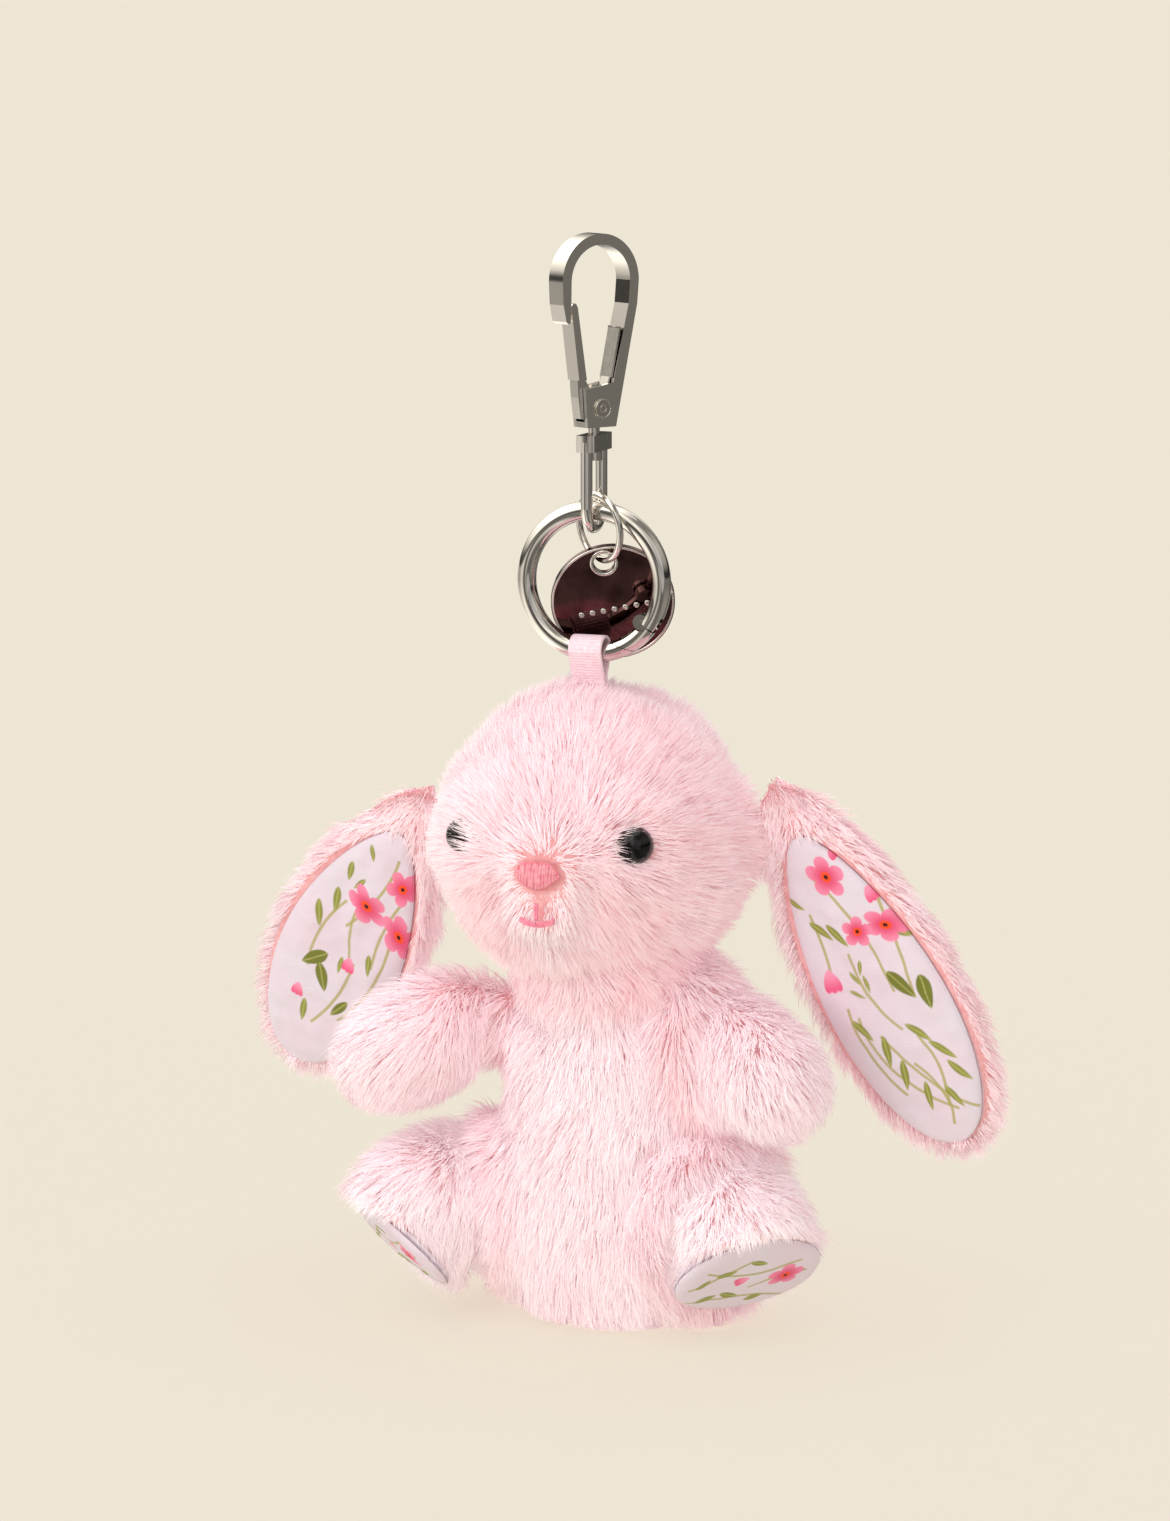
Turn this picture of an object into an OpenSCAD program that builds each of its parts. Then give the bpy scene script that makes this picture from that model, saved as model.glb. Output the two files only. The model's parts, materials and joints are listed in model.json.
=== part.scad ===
// Plush rabbit keychain: a sitting rabbit with lop ears on a ribbon loop, a gate ring, a tag on a
// jump ring and a swivel snap hook. The origin is the point the hook hangs from, at the inside of
// its bow. The rabbit faces -Y. Heights inside the modules are taken from the rabbit's flat seat.

/* [Overall] */
// Height of the hanging point above the rabbit's seat
hang_height = 169; // [168:0.5:170]

/* [Snap hook] */
// Turn of the hook's flat plane about the vertical, from +X
hook_yaw = 57; // [0:1:180]
// Outer radius of the hook's bow
bow_r = 7.35; // [7:0.05:7.6]
// Width of the hook's bar, in its flat plane
bow_bar = 1.7; // [1.4:0.1:1.9]
// Thickness of the hook, across its flat plane
hook_t = 3.6; // [3.2:0.1:4]
// Radius of the gate's pin
gate_pin_r = 0.6; // [0.5:0.05:0.7]

/* [Swivel] */
// Radius of the swivel's rivet
rivet_r = 0.9; // [0.7:0.05:1]
// Radius of the swivel eye's wire
eye_wire_r = 0.9; // [0.8:0.05:1]
// Half the distance between the eye's two legs
eye_half_w = 3.4; // [3.3:0.05:3.6]

/* [Gate ring] */
// Radius of the ring's centre line
ring_r = 11.15; // [11:0.05:11.3]
// Radius of the ring's wire
ring_wire_r = 1.5; // [1.4:0.05:1.55]
// Angle of the gate's hinge pin round the ring, from +X
ring_pin_angle = -36.3; // [-38:0.1:-35]
// Angle of the gate's free end round the ring, from +X
ring_end_angle = -64; // [-66:1:-62]

/* [Jump ring and tag] */
// Radius of the jump ring's centre line
jump_r = 5.2; // [5.1:0.05:5.3]
// Radius of the jump ring's wire
jump_wire_r = 0.55; // [0.45:0.05:0.6]
// Radius of the round tag
tag_r = 9.7; // [9:0.1:10]
// Thickness of the tag
tag_t = 0.9; // [0.8:0.1:1]
// Radius of the tag's hole
tag_hole_r = 1.6; // [1.6:0.05:1.7]

/* [Ribbon] */
// Width of the ribbon
ribbon_w = 5.4; // [4:0.1:5.4]
// Thickness of the doubled ribbon
ribbon_t = 0.6; // [0.4:0.1:0.8]
// Inner radius of the ribbon's loop
ribbon_r = 2; // [1.95:0.05:2.1]

/* [Rabbit] */
// Radius of the head, seen from above
head_r = 25; // [24:0.5:26]
// Half the head's height
head_half_h = 24; // [23:0.5:24.5]
// Largest radius of the body
body_r = 21; // [20:0.5:22]
// Half the length of an arm
arm_half_l = 15.5; // [14:0.5:16]
// Radius of an arm
arm_r = 9.5; // [8.5:0.5:10]
// Half the length of a leg
leg_half_l = 17; // [16:0.5:18]
// Radius of a leg
leg_r = 12; // [11:0.5:12.5]
// Length of an ear
ear_l = 68; // [60:1:70]
// Half the width of an ear
ear_half_w = 13.5; // [12:0.5:14]
// Thickness of the fur fabric
cover_t = 1.4; // [1:0.1:2]

/* [Hidden] */
$fn = 48;
profile_steps = 20;
gap = 0.1;
run_gap = 0.05;
soft_gap = 0.2;
cut = 60;

metal = [0.72, 0.70, 0.68];
fur = [0.96, 0.83, 0.85];
filling = [0.97, 0.96, 0.94];
cotton = [0.95, 0.93, 0.96];

arc_z = hang_height - (bow_r - bow_bar);
bow_in = bow_r - bow_bar;
block_half_w = 2.95;
block_z = 140.8;
block_top = 147.2;
floor_t = 0.9;
cheek_t = 0.7;
pivot = [0.3, 143.7];
boss_r = 1.35;
pin_head_r = 1.45;
pin_head_t = 0.3;
bar_n = 2.9;
slot_n = 2 * (hook_t / 2 - cheek_t) - 2 * gap;

eye_top = 139.7;
eye_block_h = 2.6;
eye_bow_z = 128.5;
eye_leg_lap = 0.2;
rivet_head_r = 1.35;
rivet_head_h = 1.4;

ring_z = 116.6;
ring_pin_at = 10;
ring_pin_r = 0.4;
knuckle_r = 1.25;
knuckle_cut = 1.4;
tongue_half = 0.72;
tongue_low = -0.62;
tongue_high = 0.02;
end_tilt = 72;
end_lap = 8.3;
end_block = [3.2, 4.6];
spring_wire = 0.13;
spring_coil_r = 0.62;
spring_low = 0.1;
spring_h = 0.52;
spring_leg = 1.9;

jump_at = [0.8, 0.3, 125.1];
jump_yaw = 57;
jump_tilt = 8;
tag_yaw = 20;
tag_lean = 18;
tag_roll = 12;
tag_drop = 6.9;
hole_at = [1.2, 1.2, 119.6];

ribbon_x = -0.7;
ribbon_z = 105.7;
ribbon_tail_z = 93;
ribbon_neck_z = 101.3;

head_at = [0, 0, 77];
muzzle_at = [0, -13, 70.5];
muzzle_r = 12.5;
body_at = [4, 5, 0];
body_h = 55.5;
belly_at = 0.3;
seat_edge = 1.5;
arm_at = [27, -4, 43.5];
arm_lean = [118, 62];
leg_at = [23.5, -4.5, 17];
leg_lean = [97, 48];
sole_turn = [42, 48];
sole_depth = 9.6;
pad_half = [12.5, 8.8];
pad_t = 0.9;
tail_at = [4, 29, 15];
tail_r = 8.5;
tail_flat = 2.7;
ear_flat = 0.31;
ear_face = 2.2;
ear_gap = 0.4;
lining_t = 0.9;
lining_margin = 2.6;
lining_start = 11;
ear_root_right = [28, 2, 88];
ear_root_left = [-28, 2, 83];
ear_twist_right = -12;
ear_turn_right = [7.5, -28, 0];
ear_turn_left = [22, 34, 0];
eye_angle = 34.5;
eye_z = 79;
eye_r = 3;
eye_shank_r = 1.3;
eye_shank_l = 7;
washer_r = 4;
washer_t = 0.9;
nose_at = [0, -25, 74.4];
mouth_z = 67.6;
mouth_y = -25;
stitch_t = 1.2;
eye_sink = 0.1;

// Moves a piece drawn from the seat up to the origin at the hanging point.
module from_seat() {
    translate([0, 0, -hang_height])
        children();
}

// ---------- snap hook: drawn as (across, height, thickness) in the hook's flat plane ----------

module hook_plane() {
    from_seat()
        rotate([0, 0, hook_yaw])
            rotate([90, 0, 0])
                children();
}

module slab(points, thickness) {
    linear_extrude(height = thickness, center = true)
        polygon(points);
}

// The two thin cheeks that hold the gate's pin.
module cheeks() {
    for (side = [-1, 1])
        translate([0, 0, side * (hook_t - cheek_t) / 2])
            slab([[-block_half_w + 0.4, block_z], [block_half_w, block_z],
                [block_half_w + 1.2, block_top + 0.8], [0, block_top],
                [-block_half_w, block_top - 0.4]], cheek_t);
}

module hook_frame() {
    color(metal)
        hook_plane()
            difference() {
                union() {
                    intersection() {
                        translate([0, arc_z, 0])
                            difference() {
                                cylinder(r = bow_r, h = hook_t, center = true);
                                cylinder(r = bow_in, h = 2 * hook_t, center = true);
                            }
                        translate([-cut / 2, arc_z - 0.01, -cut / 2])
                            cube([cut, cut, cut]);
                    }
                    slab([[bow_in, arc_z], [bow_r, arc_z], [bow_r - 0.3, arc_z - 3.6],
                        [block_half_w, block_z], [block_half_w - 0.9, block_z],
                        [block_half_w - 0.9, block_top - 1], [bow_in - 0.3, arc_z - 3.6]], hook_t);
                    slab([[-bow_r, arc_z], [-bow_in, arc_z], [-bow_in - 0.05, arc_z - 3.2],
                        [-bow_in - 0.2, arc_z - 6.1], [-bow_in - 0.55, arc_z - 6.4],
                        [-bow_in - 1, arc_z - 6], [-bow_r + 0.15, arc_z - 3.4]], hook_t);
                    translate([-block_half_w + 0.4, block_z, -hook_t / 2])
                        cube([2 * block_half_w - 0.4, floor_t, hook_t]);
                    cheeks();
                }
                translate([pivot[0], pivot[1], 0])
                    cylinder(r = gate_pin_r, h = 2 * hook_t, center = true);
                translate([0, block_z - 1, 0])
                    rotate([-90, 0, 0])
                        cylinder(r = rivet_r, h = 4);
            }
}

module hook_gate() {
    color(metal)
        hook_plane()
            difference() {
                union() {
                    slab([[-5.45, 159.7], [-5.1, 160.1], [-4.55, 160.1], [-4.2, 159.5],
                        [-2.45, 148.2], [-3.95, 148.2]], bar_n);
                    slab([[-3.95, 148.3], [-2.45, 148.3], [-1.3, 146.4], [pivot[0], 145],
                        [pivot[0], 142.4], [-2.4, 142], [-3.3, 142.2], [-3.75, 145.5]], slot_n);
                    translate([pivot[0], pivot[1], 0])
                        cylinder(r = boss_r, h = slot_n, center = true);
                }
                translate([pivot[0], pivot[1], 0])
                    cylinder(r = gate_pin_r + run_gap, h = 2 * hook_t, center = true);
            }
}

module gate_pin() {
    color(metal)
        hook_plane()
            translate([pivot[0], pivot[1], 0]) {
                cylinder(r = gate_pin_r, h = hook_t, center = true);
                for (side = [0, 1])
                    mirror([0, 0, side])
                        translate([0, 0, hook_t / 2])
                            cylinder(r = pin_head_r, h = pin_head_t);
            }
}

// Leaf spring: a long leg along the hook's arm and a foot that presses on the gate.
module gate_spring() {
    color(metal)
        hook_plane() {
            slab([[3.85, 156.1], [4.15, 156.1], [2.5, 148.5], [2.2, 148.4]], bar_n);
            slab([[2.2, 148.5], [2.5, 148.5], [1.95, 147], [1.25, 146.35], [-0.7, 146.55],
                [-0.7, 146.85], [1.15, 146.65], [1.65, 147.1]], slot_n);
        }
}

// ---------- swivel ----------

module swivel_rivet() {
    color(metal)
        from_seat() {
            translate([0, 0, eye_top - eye_block_h - gap - rivet_head_h])
                cylinder(r = rivet_head_r, h = rivet_head_h);
            translate([0, 0, eye_top - eye_block_h - gap])
                cylinder(r = rivet_r, h = block_z + floor_t - eye_top + eye_block_h + gap);
        }
}

module swivel_eye() {
    leg_h = eye_top - 1 - eye_bow_z;
    color(metal)
        from_seat()
            difference() {
                union() {
                    intersection() {
                        translate([-1.5, -5, eye_top - eye_block_h])
                            cube([3, 10, eye_block_h]);
                        translate([0, 0, eye_top - eye_block_h])
                            cylinder(r = eye_half_w + eye_wire_r, h = eye_block_h);
                    }
                    for (side = [-1, 1])
                        translate([0, side * eye_half_w, eye_bow_z - eye_leg_lap])
                            cylinder(r = eye_wire_r + eye_leg_lap / 4, h = leg_h + eye_leg_lap);
                    translate([0, 0, eye_bow_z])
                        rotate([0, 90, 0])
                            rotate([0, 0, -90])
                                rotate_extrude(angle = 180)
                                    translate([eye_half_w, 0])
                                        circle(r = eye_wire_r);
                }
                translate([0, 0, eye_top - 2 * eye_block_h])
                    cylinder(r = rivet_r + run_gap, h = 3 * eye_block_h);
            }
}

// ---------- gate ring: drawn in its flat plane, with the ring's centre as the centre ----------

module ring_plane() {
    from_seat()
        translate([0, 0, ring_z])
            rotate([90, 0, 0])
                children();
}

module ring_arc(start, sweep) {
    rotate([0, 0, start])
        rotate_extrude(angle = sweep)
            translate([ring_r, 0])
                circle(r = ring_wire_r);
}

module at_ring_pin() {
    rotate([0, 0, ring_pin_angle])
        translate([ring_pin_at, 0, 0])
            children();
}

// Block on the inner side of the slanted joint at the gate's free end.
module inner_side(shift, depth, width) {
    rotate([0, 0, ring_end_angle])
        translate([ring_r, 0, 0])
            rotate([0, 0, end_tilt - ring_end_angle])
                translate([shift, -width / 2, -width / 2])
                    cube([depth, width, width]);
}

module ring_frame() {
    color(metal)
        ring_plane()
            difference() {
                union() {
                    ring_arc(ring_pin_angle, 360 + ring_end_angle + end_lap - ring_pin_angle);
                    at_ring_pin()
                        cylinder(r = knuckle_r, h = 2.4, center = true);
                }
                inner_side(0, end_block[0], end_block[1]);
                // slot for the gate's tongue and its spring
                rotate([0, 0, ring_pin_angle])
                    translate([ring_pin_at - 5, -4, -tongue_half])
                        cube([10, 6.4, 2 * tongue_half]);
                at_ring_pin()
                    cylinder(r = ring_pin_r, h = 6, center = true);
            }
}

module ring_gate() {
    color(metal)
        ring_plane()
            difference() {
                union() {
                    intersection() {
                        ring_arc(ring_end_angle - end_lap, ring_pin_angle - 1 - ring_end_angle + end_lap);
                        inner_side(gap, cut, cut);
                    }
                    translate([0, 0, tongue_low])
                        linear_extrude(height = tongue_high - tongue_low)
                            rotate([0, 0, ring_pin_angle])
                                translate([ring_pin_at, 0])
                                    circle(r = knuckle_r - 0.05);
                }
                at_ring_pin() {
                    translate([0, 0, tongue_high])
                        cylinder(r = knuckle_cut, h = 3);
                    translate([0, 0, tongue_low - 3])
                        cylinder(r = knuckle_cut, h = 3);
                    cylinder(r = ring_pin_r + run_gap, h = 6, center = true);
                }
            }
}

module ring_gate_pin() {
    color(metal)
        ring_plane()
            at_ring_pin()
                cylinder(r = ring_pin_r, h = 2.6, center = true);
}

// Torsion spring of flat wire: a coil round the pin and a leg that lies in the ring's slot.
module ring_gate_spring() {
    color(metal)
        ring_plane()
            at_ring_pin()
                difference() {
                    union() {
                        translate([0, 0, spring_low])
                            cylinder(r = spring_coil_r + spring_wire, h = spring_h);
                        translate([spring_coil_r - spring_wire, 0, spring_low])
                            cube([2 * spring_wire, spring_leg, spring_h / 2]);
                    }
                    cylinder(r = spring_coil_r - spring_wire, h = 6, center = true);
                }
}

module jump_ring() {
    color(metal)
        from_seat()
            translate(jump_at)
                rotate([0, 0, jump_yaw - 90])
                    rotate([90 + jump_tilt, 0, 0])
                        rotate_extrude()
                            translate([jump_r, 0])
                                circle(r = jump_wire_r);
}

// Drawn with the hole at the centre and the face in the XY plane.
module tag_disc() {
    color(metal)
        from_seat()
            translate(hole_at)
                rotate([0, 0, tag_yaw])
                    rotate([90 + tag_lean, 0, 0])
                        difference() {
                            rotate([0, 0, tag_roll])
                                translate([0, -tag_drop, 0])
                                    cylinder(r = tag_r, h = tag_t, center = true, $fn = 96);
                            cylinder(r = tag_hole_r, h = 4 * tag_t, center = true);
                        }
}

// ---------- ribbon: side outline, extruded along X ----------

// The loop over the ring and its two legs, which meet at half width low and height end.
module ribbon_outline(r, low, end) {
    polygon(concat([for (a = [0:10:180]) [r * cos(a), r * sin(a)]],
        [[-low, ribbon_neck_z - ribbon_z], [-low, end], [low, end], [low, ribbon_neck_z - ribbon_z]]));
}

module hang_ribbon() {
    color("lightpink")
        from_seat()
            translate([ribbon_x, 0, ribbon_z])
                rotate([90, 0, 90])
                    linear_extrude(height = ribbon_w, center = true)
                        difference() {
                            ribbon_outline(ribbon_r + ribbon_t, ribbon_t, ribbon_tail_z - ribbon_z);
                            ribbon_outline(ribbon_r, gap, ribbon_neck_z + gap - ribbon_z);
                        }
}

// ---------- rabbit ----------

// Half outline of an egg shape of radius r and half length l, for rotate_extrude. A positive
// lean makes the lower end the fuller one.
function egg(r, l, lean) = [for (i = [0:profile_steps])
    let (a = -90 + 180 * i / profile_steps)
    [i == 0 || i == profile_steps ? 0 : r * cos(a) * (1 - lean * sin(a)), l * sin(a)]];

module egg_solid(r, l, lean, inset) {
    rotate_extrude()
        polygon(egg(r - inset, l - inset, lean));
}

// Everything that goes through the head's cover: the ribbon's tail and the eyes' shanks.
module head_holes() {
    translate([ribbon_x, 0, ribbon_tail_z + 5 - gap])
        cube([ribbon_w + 2 * gap, 2 * ribbon_t + 2 * gap, 10], center = true);
    for (side = [-1, 1])
        at_eye(side)
            translate([0, 0, -eye_shank_l - 1])
                cylinder(r = eye_shank_r + gap, h = eye_shank_l + 6);
}

module head_solid(inset) {
    translate(head_at)
        egg_solid(head_r, head_half_h, 0.06, inset);
    translate(muzzle_at)
        sphere(r = muzzle_r - inset);
}

// Shallow flat that a stitched patch sits in, from y back to the front.
module front_recess(y, z, width, height) {
    translate([-width / 2, y - 6 + gap / 5, z - height / 2])
        cube([width, 6, height]);
}

module head_cover() {
    color(fur)
        from_seat()
            difference() {
                head_solid(0);
                head_solid(cover_t);
                head_holes();
                for (side = [-1, 1])
                    at_eye(side)
                        translate([0, 0, -eye_sink - gap])
                            cylinder(r = eye_r + gap, h = 4);
                front_recess(nose_at[1] + stitch_t / 2, nose_at[2], 7.2, 4.9);
                front_recess(mouth_y + stitch_t / 2, mouth_z + 0.9, 5.8, 4.1);
            }
}

module head_stuffing() {
    color(filling)
        from_seat()
            difference() {
                head_solid(cover_t + soft_gap);
                head_holes();
                for (side = [-1, 1])
                    at_eye(side)
                        translate([0, 0, -eye_shank_l])
                            cylinder(r = washer_r + gap, h = eye_shank_l);
            }
}

// Radius of the body at a share t of its height: widest at the belly, narrow at the neck.
function body_radius(t) = t < belly_at
    ? body_r * (1 - 0.14 * pow(1 - t / belly_at, 2))
    : body_r * (1 - 0.32 * pow((t - belly_at) / (1 - belly_at), 1.8));

// Half outline of the body, with a flat seat and a rounded lower edge.
function pear(inset) = [[0, inset], [body_radius(0) - 2 - inset, inset],
    for (i = [0:profile_steps])
        let (t = i / profile_steps)
        [body_radius(t) - inset, inset + seat_edge + t * (body_h - seat_edge - 2 * inset)],
    [0, body_h - inset]];

module body_solid(inset) {
    translate(body_at)
        rotate_extrude()
            polygon(pear(inset));
}

module body_cover() {
    color(fur)
        from_seat()
            difference() {
                body_solid(0);
                body_solid(cover_t);
                head_solid(-soft_gap);
            }
}

module body_stuffing() {
    color(filling)
        from_seat()
            difference() {
                body_solid(cover_t + soft_gap);
                head_solid(-soft_gap);
            }
}

// A limb on one side: side is 1 for the rabbit's side on +X and -1 for the side on -X.
module at_side(side) {
    from_seat()
        mirror([side < 0 ? 1 : 0, 0, 0])
            children();
}

module arm_solid(inset) {
    translate(arm_at)
        rotate([0, 0, arm_lean[1] - 90])
            rotate([0, arm_lean[0], 0])
                egg_solid(arm_r, arm_half_l, -0.1, inset);
}

module arm(side, from, to, tint) {
    color(tint)
        at_side(side)
            difference() {
                arm_solid(from);
                if (to > 0)
                    arm_solid(to);
                mirrored_body(side);
            }
}

// The trunk and head as seen from the mirrored side, with the sewing gap added.
module mirrored_body(side) {
    mirror([side < 0 ? 1 : 0, 0, 0]) {
        body_solid(-soft_gap);
        head_solid(-soft_gap);
    }
}

module leg_solid(inset) {
    difference() {
        translate(leg_at)
            rotate([0, 0, leg_lean[1] - 90])
                rotate([0, leg_lean[0], 0])
                    egg_solid(leg_r, leg_half_l, 0, inset);
        at_sole()
            translate([-cut / 2, -cut / 2, -inset])
                cube([cut, cut, cut]);
    }
}

// The plane of a foot's sole, with +Z out of the foot.
module at_sole() {
    translate(leg_at)
        rotate([0, 0, sole_turn[1] - 90])
            rotate([0, 90 + sole_turn[0], 0])
                translate([0, 0, sole_depth])
                    children();
}

module leg(side, from, to, tint) {
    color(tint)
        at_side(side)
            difference() {
                leg_solid(from);
                if (to > 0)
                    leg_solid(to);
                mirrored_body(side);
                arm_solid(-soft_gap);
            }
}

module foot_pad(side) {
    color(cotton)
        at_side(side)
            at_sole()
                rotate([0, 0, 90])
                    linear_extrude(height = pad_t)
                        polygon([for (a = [0:10:350])
                            [pad_half[0] * cos(a), pad_half[1] * sin(a)]]);
}

// The tail is a ball, flat where it is sewn to the back.
module tail_solid(inset) {
    r = tail_r - inset;
    flat = inset - tail_flat;
    first = asin(flat / r);
    translate(tail_at)
        rotate([-90, 0, 0])
            rotate_extrude()
                polygon(concat([[0, flat]],
                    [for (i = [0:profile_steps])
                        let (a = first + (90 - first) * i / profile_steps)
                        [i == profile_steps ? 0 : r * cos(a), r * sin(a)]]));
}

module tail_cover() {
    color(fur)
        from_seat()
            difference() {
                tail_solid(0);
                tail_solid(cover_t);
            }
}

module tail_stuffing() {
    color(filling)
        from_seat()
            tail_solid(cover_t + soft_gap);
}

// Half outline of an ear or its lining: pointed at the root and full towards the tip.
function leaf(half_w, start, end) = [for (i = [0:profile_steps])
    let (t = i / profile_steps, round = sin(180 * pow(t, 1.25)))
    [i == 0 || i == profile_steps ? 0 : half_w * pow(round, 0.45), -start - t * (end - start)]];

// The ear hangs down from its root, with its lined face towards -Y.
module ear_place(side) {
    from_seat()
        translate(side > 0 ? ear_root_right : ear_root_left)
            rotate(side > 0 ? ear_turn_right : ear_turn_left)
                rotate([0, 0, side > 0 ? ear_twist_right : 0])
                    children();
}

module ear_clearance() {
    from_seat()
        head_solid(-ear_gap);
}

module ear_back(side) {
    color(fur)
        difference() {
            ear_place(side)
                difference() {
                    multmatrix([[1, 0, 0, 0], [0, ear_flat, 0, 0], [0, 0, 1, 0]])
                        rotate_extrude()
                            polygon(leaf(ear_half_w, 0, ear_l));
                    translate([-cut / 2, -ear_face - cut, -ear_l - 5])
                        cube([cut, cut, 2 * cut]);
                }
            ear_clearance();
        }
}

module ear_lining(side) {
    half = leaf(ear_half_w - lining_margin, lining_start, ear_l - lining_margin);
    color(cotton)
        ear_place(side)
            translate([0, -ear_face, 0])
                rotate([90, 0, 0])
                    linear_extrude(height = lining_t)
                        polygon(concat(half, [for (i = [profile_steps - 1:-1:1]) [-half[i][0], half[i][1]]]));
}

// A point on the face, with +Z out of the head.
module at_eye(side) {
    translate([head_at[0], head_at[1], eye_z])
        rotate([0, 0, side * eye_angle - 90])
            rotate([0, 90, 0])
                translate([0, 0, head_r - 0.5])
                    children();
}

module eye(side) {
    color("black")
        from_seat()
            at_eye(side) {
                translate([0, 0, -eye_sink])
                    intersection() {
                        sphere(r = eye_r);
                        translate([0, 0, eye_r])
                            cube([3 * eye_r, 3 * eye_r, 2 * eye_r], center = true);
                    }
                translate([0, 0, -eye_shank_l])
                    cylinder(r = eye_shank_r, h = eye_shank_l + 1);
            }
}

module eye_washer(side) {
    color(filling)
        from_seat()
            at_eye(side)
                translate([0, 0, -4.6])
                    difference() {
                        cylinder(r = washer_r, h = washer_t);
                        translate([0, 0, -1])
                            cylinder(r = eye_shank_r + run_gap, h = 4);
                    }
}

module nose_patch() {
    color([0.93, 0.6, 0.66])
        from_seat()
            translate(nose_at)
                rotate([90, 0, 0])
                    linear_extrude(height = stitch_t, center = true)
                        polygon([[-3.5, 1.6], [-2, 2.3], [2, 2.3], [3.5, 1.6], [1.8, -1.6],
                            [0, -2.4], [-1.8, -1.6]]);
}

module mouth_stitch() {
    color([0.93, 0.5, 0.6])
        from_seat()
            translate([0, mouth_y, mouth_z])
                rotate([90, 0, 0])
                    linear_extrude(height = stitch_t, center = true) {
                        translate([-0.45, -0.2])
                            square([0.9, 3]);
                        translate([-2.8, -1])
                            square([5.6, 1]);
                    }
}

hook_frame();
hook_gate();
gate_pin();
gate_spring();
swivel_rivet();
swivel_eye();
ring_frame();
ring_gate();
ring_gate_pin();
ring_gate_spring();
jump_ring();
tag_disc();
hang_ribbon();
head_cover();
head_stuffing();
body_cover();
body_stuffing();
arm(-1, 0, cover_t, fur);  // arm_left_cover
arm(-1, cover_t + soft_gap, 0, filling);  // arm_left_stuffing
arm(1, 0, cover_t, fur);  // arm_right_cover
arm(1, cover_t + soft_gap, 0, filling);  // arm_right_stuffing
leg(-1, 0, cover_t, fur);  // leg_left_cover
leg(-1, cover_t + soft_gap, 0, filling);  // leg_left_stuffing
leg(1, 0, cover_t, fur);  // leg_right_cover
leg(1, cover_t + soft_gap, 0, filling);  // leg_right_stuffing
foot_pad(-1);  // foot_pad_left
foot_pad(1);  // foot_pad_right
tail_cover();
tail_stuffing();
ear_back(-1);  // ear_left_back
ear_lining(-1);  // ear_left_lining
ear_back(1);  // ear_right_back
ear_lining(1);  // ear_right_lining
eye(-1);  // eye_left
eye(1);  // eye_right
eye_washer(-1);  // eye_washer_left
eye_washer(1);  // eye_washer_right
nose_patch();
mouth_stitch();
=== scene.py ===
"""Looks of the plush rabbit keychain: fur, printed cotton, embroidery, ribbon and polished metal.
All lengths in the helpers are millimetres in the frame's axes; MM turns them into metres."""

import json
import math

import bmesh
import bpy
import numpy as np
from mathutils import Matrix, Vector
from mathutils.bvhtree import BVHTree


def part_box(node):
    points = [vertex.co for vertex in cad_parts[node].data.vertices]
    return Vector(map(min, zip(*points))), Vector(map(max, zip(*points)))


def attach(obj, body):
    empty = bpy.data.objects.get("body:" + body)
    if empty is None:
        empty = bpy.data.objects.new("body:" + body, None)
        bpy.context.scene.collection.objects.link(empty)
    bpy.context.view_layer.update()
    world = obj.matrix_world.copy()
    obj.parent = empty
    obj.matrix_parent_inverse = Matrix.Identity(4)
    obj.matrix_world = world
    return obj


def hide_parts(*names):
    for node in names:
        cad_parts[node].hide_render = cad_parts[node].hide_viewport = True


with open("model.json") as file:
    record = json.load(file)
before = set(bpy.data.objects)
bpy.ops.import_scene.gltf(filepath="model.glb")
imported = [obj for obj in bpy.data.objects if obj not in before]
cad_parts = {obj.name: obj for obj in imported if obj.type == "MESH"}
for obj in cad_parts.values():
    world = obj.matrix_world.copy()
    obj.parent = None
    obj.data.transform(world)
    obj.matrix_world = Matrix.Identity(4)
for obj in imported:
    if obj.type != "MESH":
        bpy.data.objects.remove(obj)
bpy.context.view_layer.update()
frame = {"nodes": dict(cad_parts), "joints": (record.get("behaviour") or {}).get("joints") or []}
NODES = frame["nodes"]
MM = 0.001
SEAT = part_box("body_cover")[0][2] / MM
rng = np.random.default_rng(20)


# ---------- small helpers ----------

def box(node):
    low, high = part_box(node)
    return np.array(low) / MM, np.array(high) / MM


def middle(node):
    low, high = box(node)
    return (low + high) / 2


def unit(v):
    return v / np.maximum(np.linalg.norm(v, axis=-1, keepdims=True), 1e-9)


def linear(r, g, b):
    c = np.array([r, g, b], float) / 255
    return np.where(c <= 0.04045, c / 12.92, ((c + 0.055) / 1.055) ** 2.4)


def smooth_step(a, b, x):
    t = np.clip((x - a) / (b - a), 0, 1)
    return t * t * (3 - 2 * t)


def hashed(i, j, k, seed):
    h = np.sin(i * 127.1 + j * 311.7 + k * 74.7 + seed * 53.3) * 43758.5453
    return h - np.floor(h)


def noise(points, cell, seed):
    """Smooth noise from -1 to 1 with blobs about one cell wide."""
    p = points / cell
    base = np.floor(p)
    f = p - base
    f = f * f * (3 - 2 * f)
    total = np.zeros(len(points))
    for a in (0, 1):
        for b in (0, 1):
            for c in (0, 1):
                weight = (
                    (f[:, 0] if a else 1 - f[:, 0])
                    * (f[:, 1] if b else 1 - f[:, 1])
                    * (f[:, 2] if c else 1 - f[:, 2])
                )
                total += weight * hashed(base[:, 0] + a, base[:, 1] + b, base[:, 2] + c, seed)
    return 2 * total - 1


def node_points(node):
    o = NODES[node]
    co = np.empty(3 * len(o.data.vertices))
    o.data.vertices.foreach_get("co", co)
    return co.reshape(-1, 3) / MM


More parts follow.
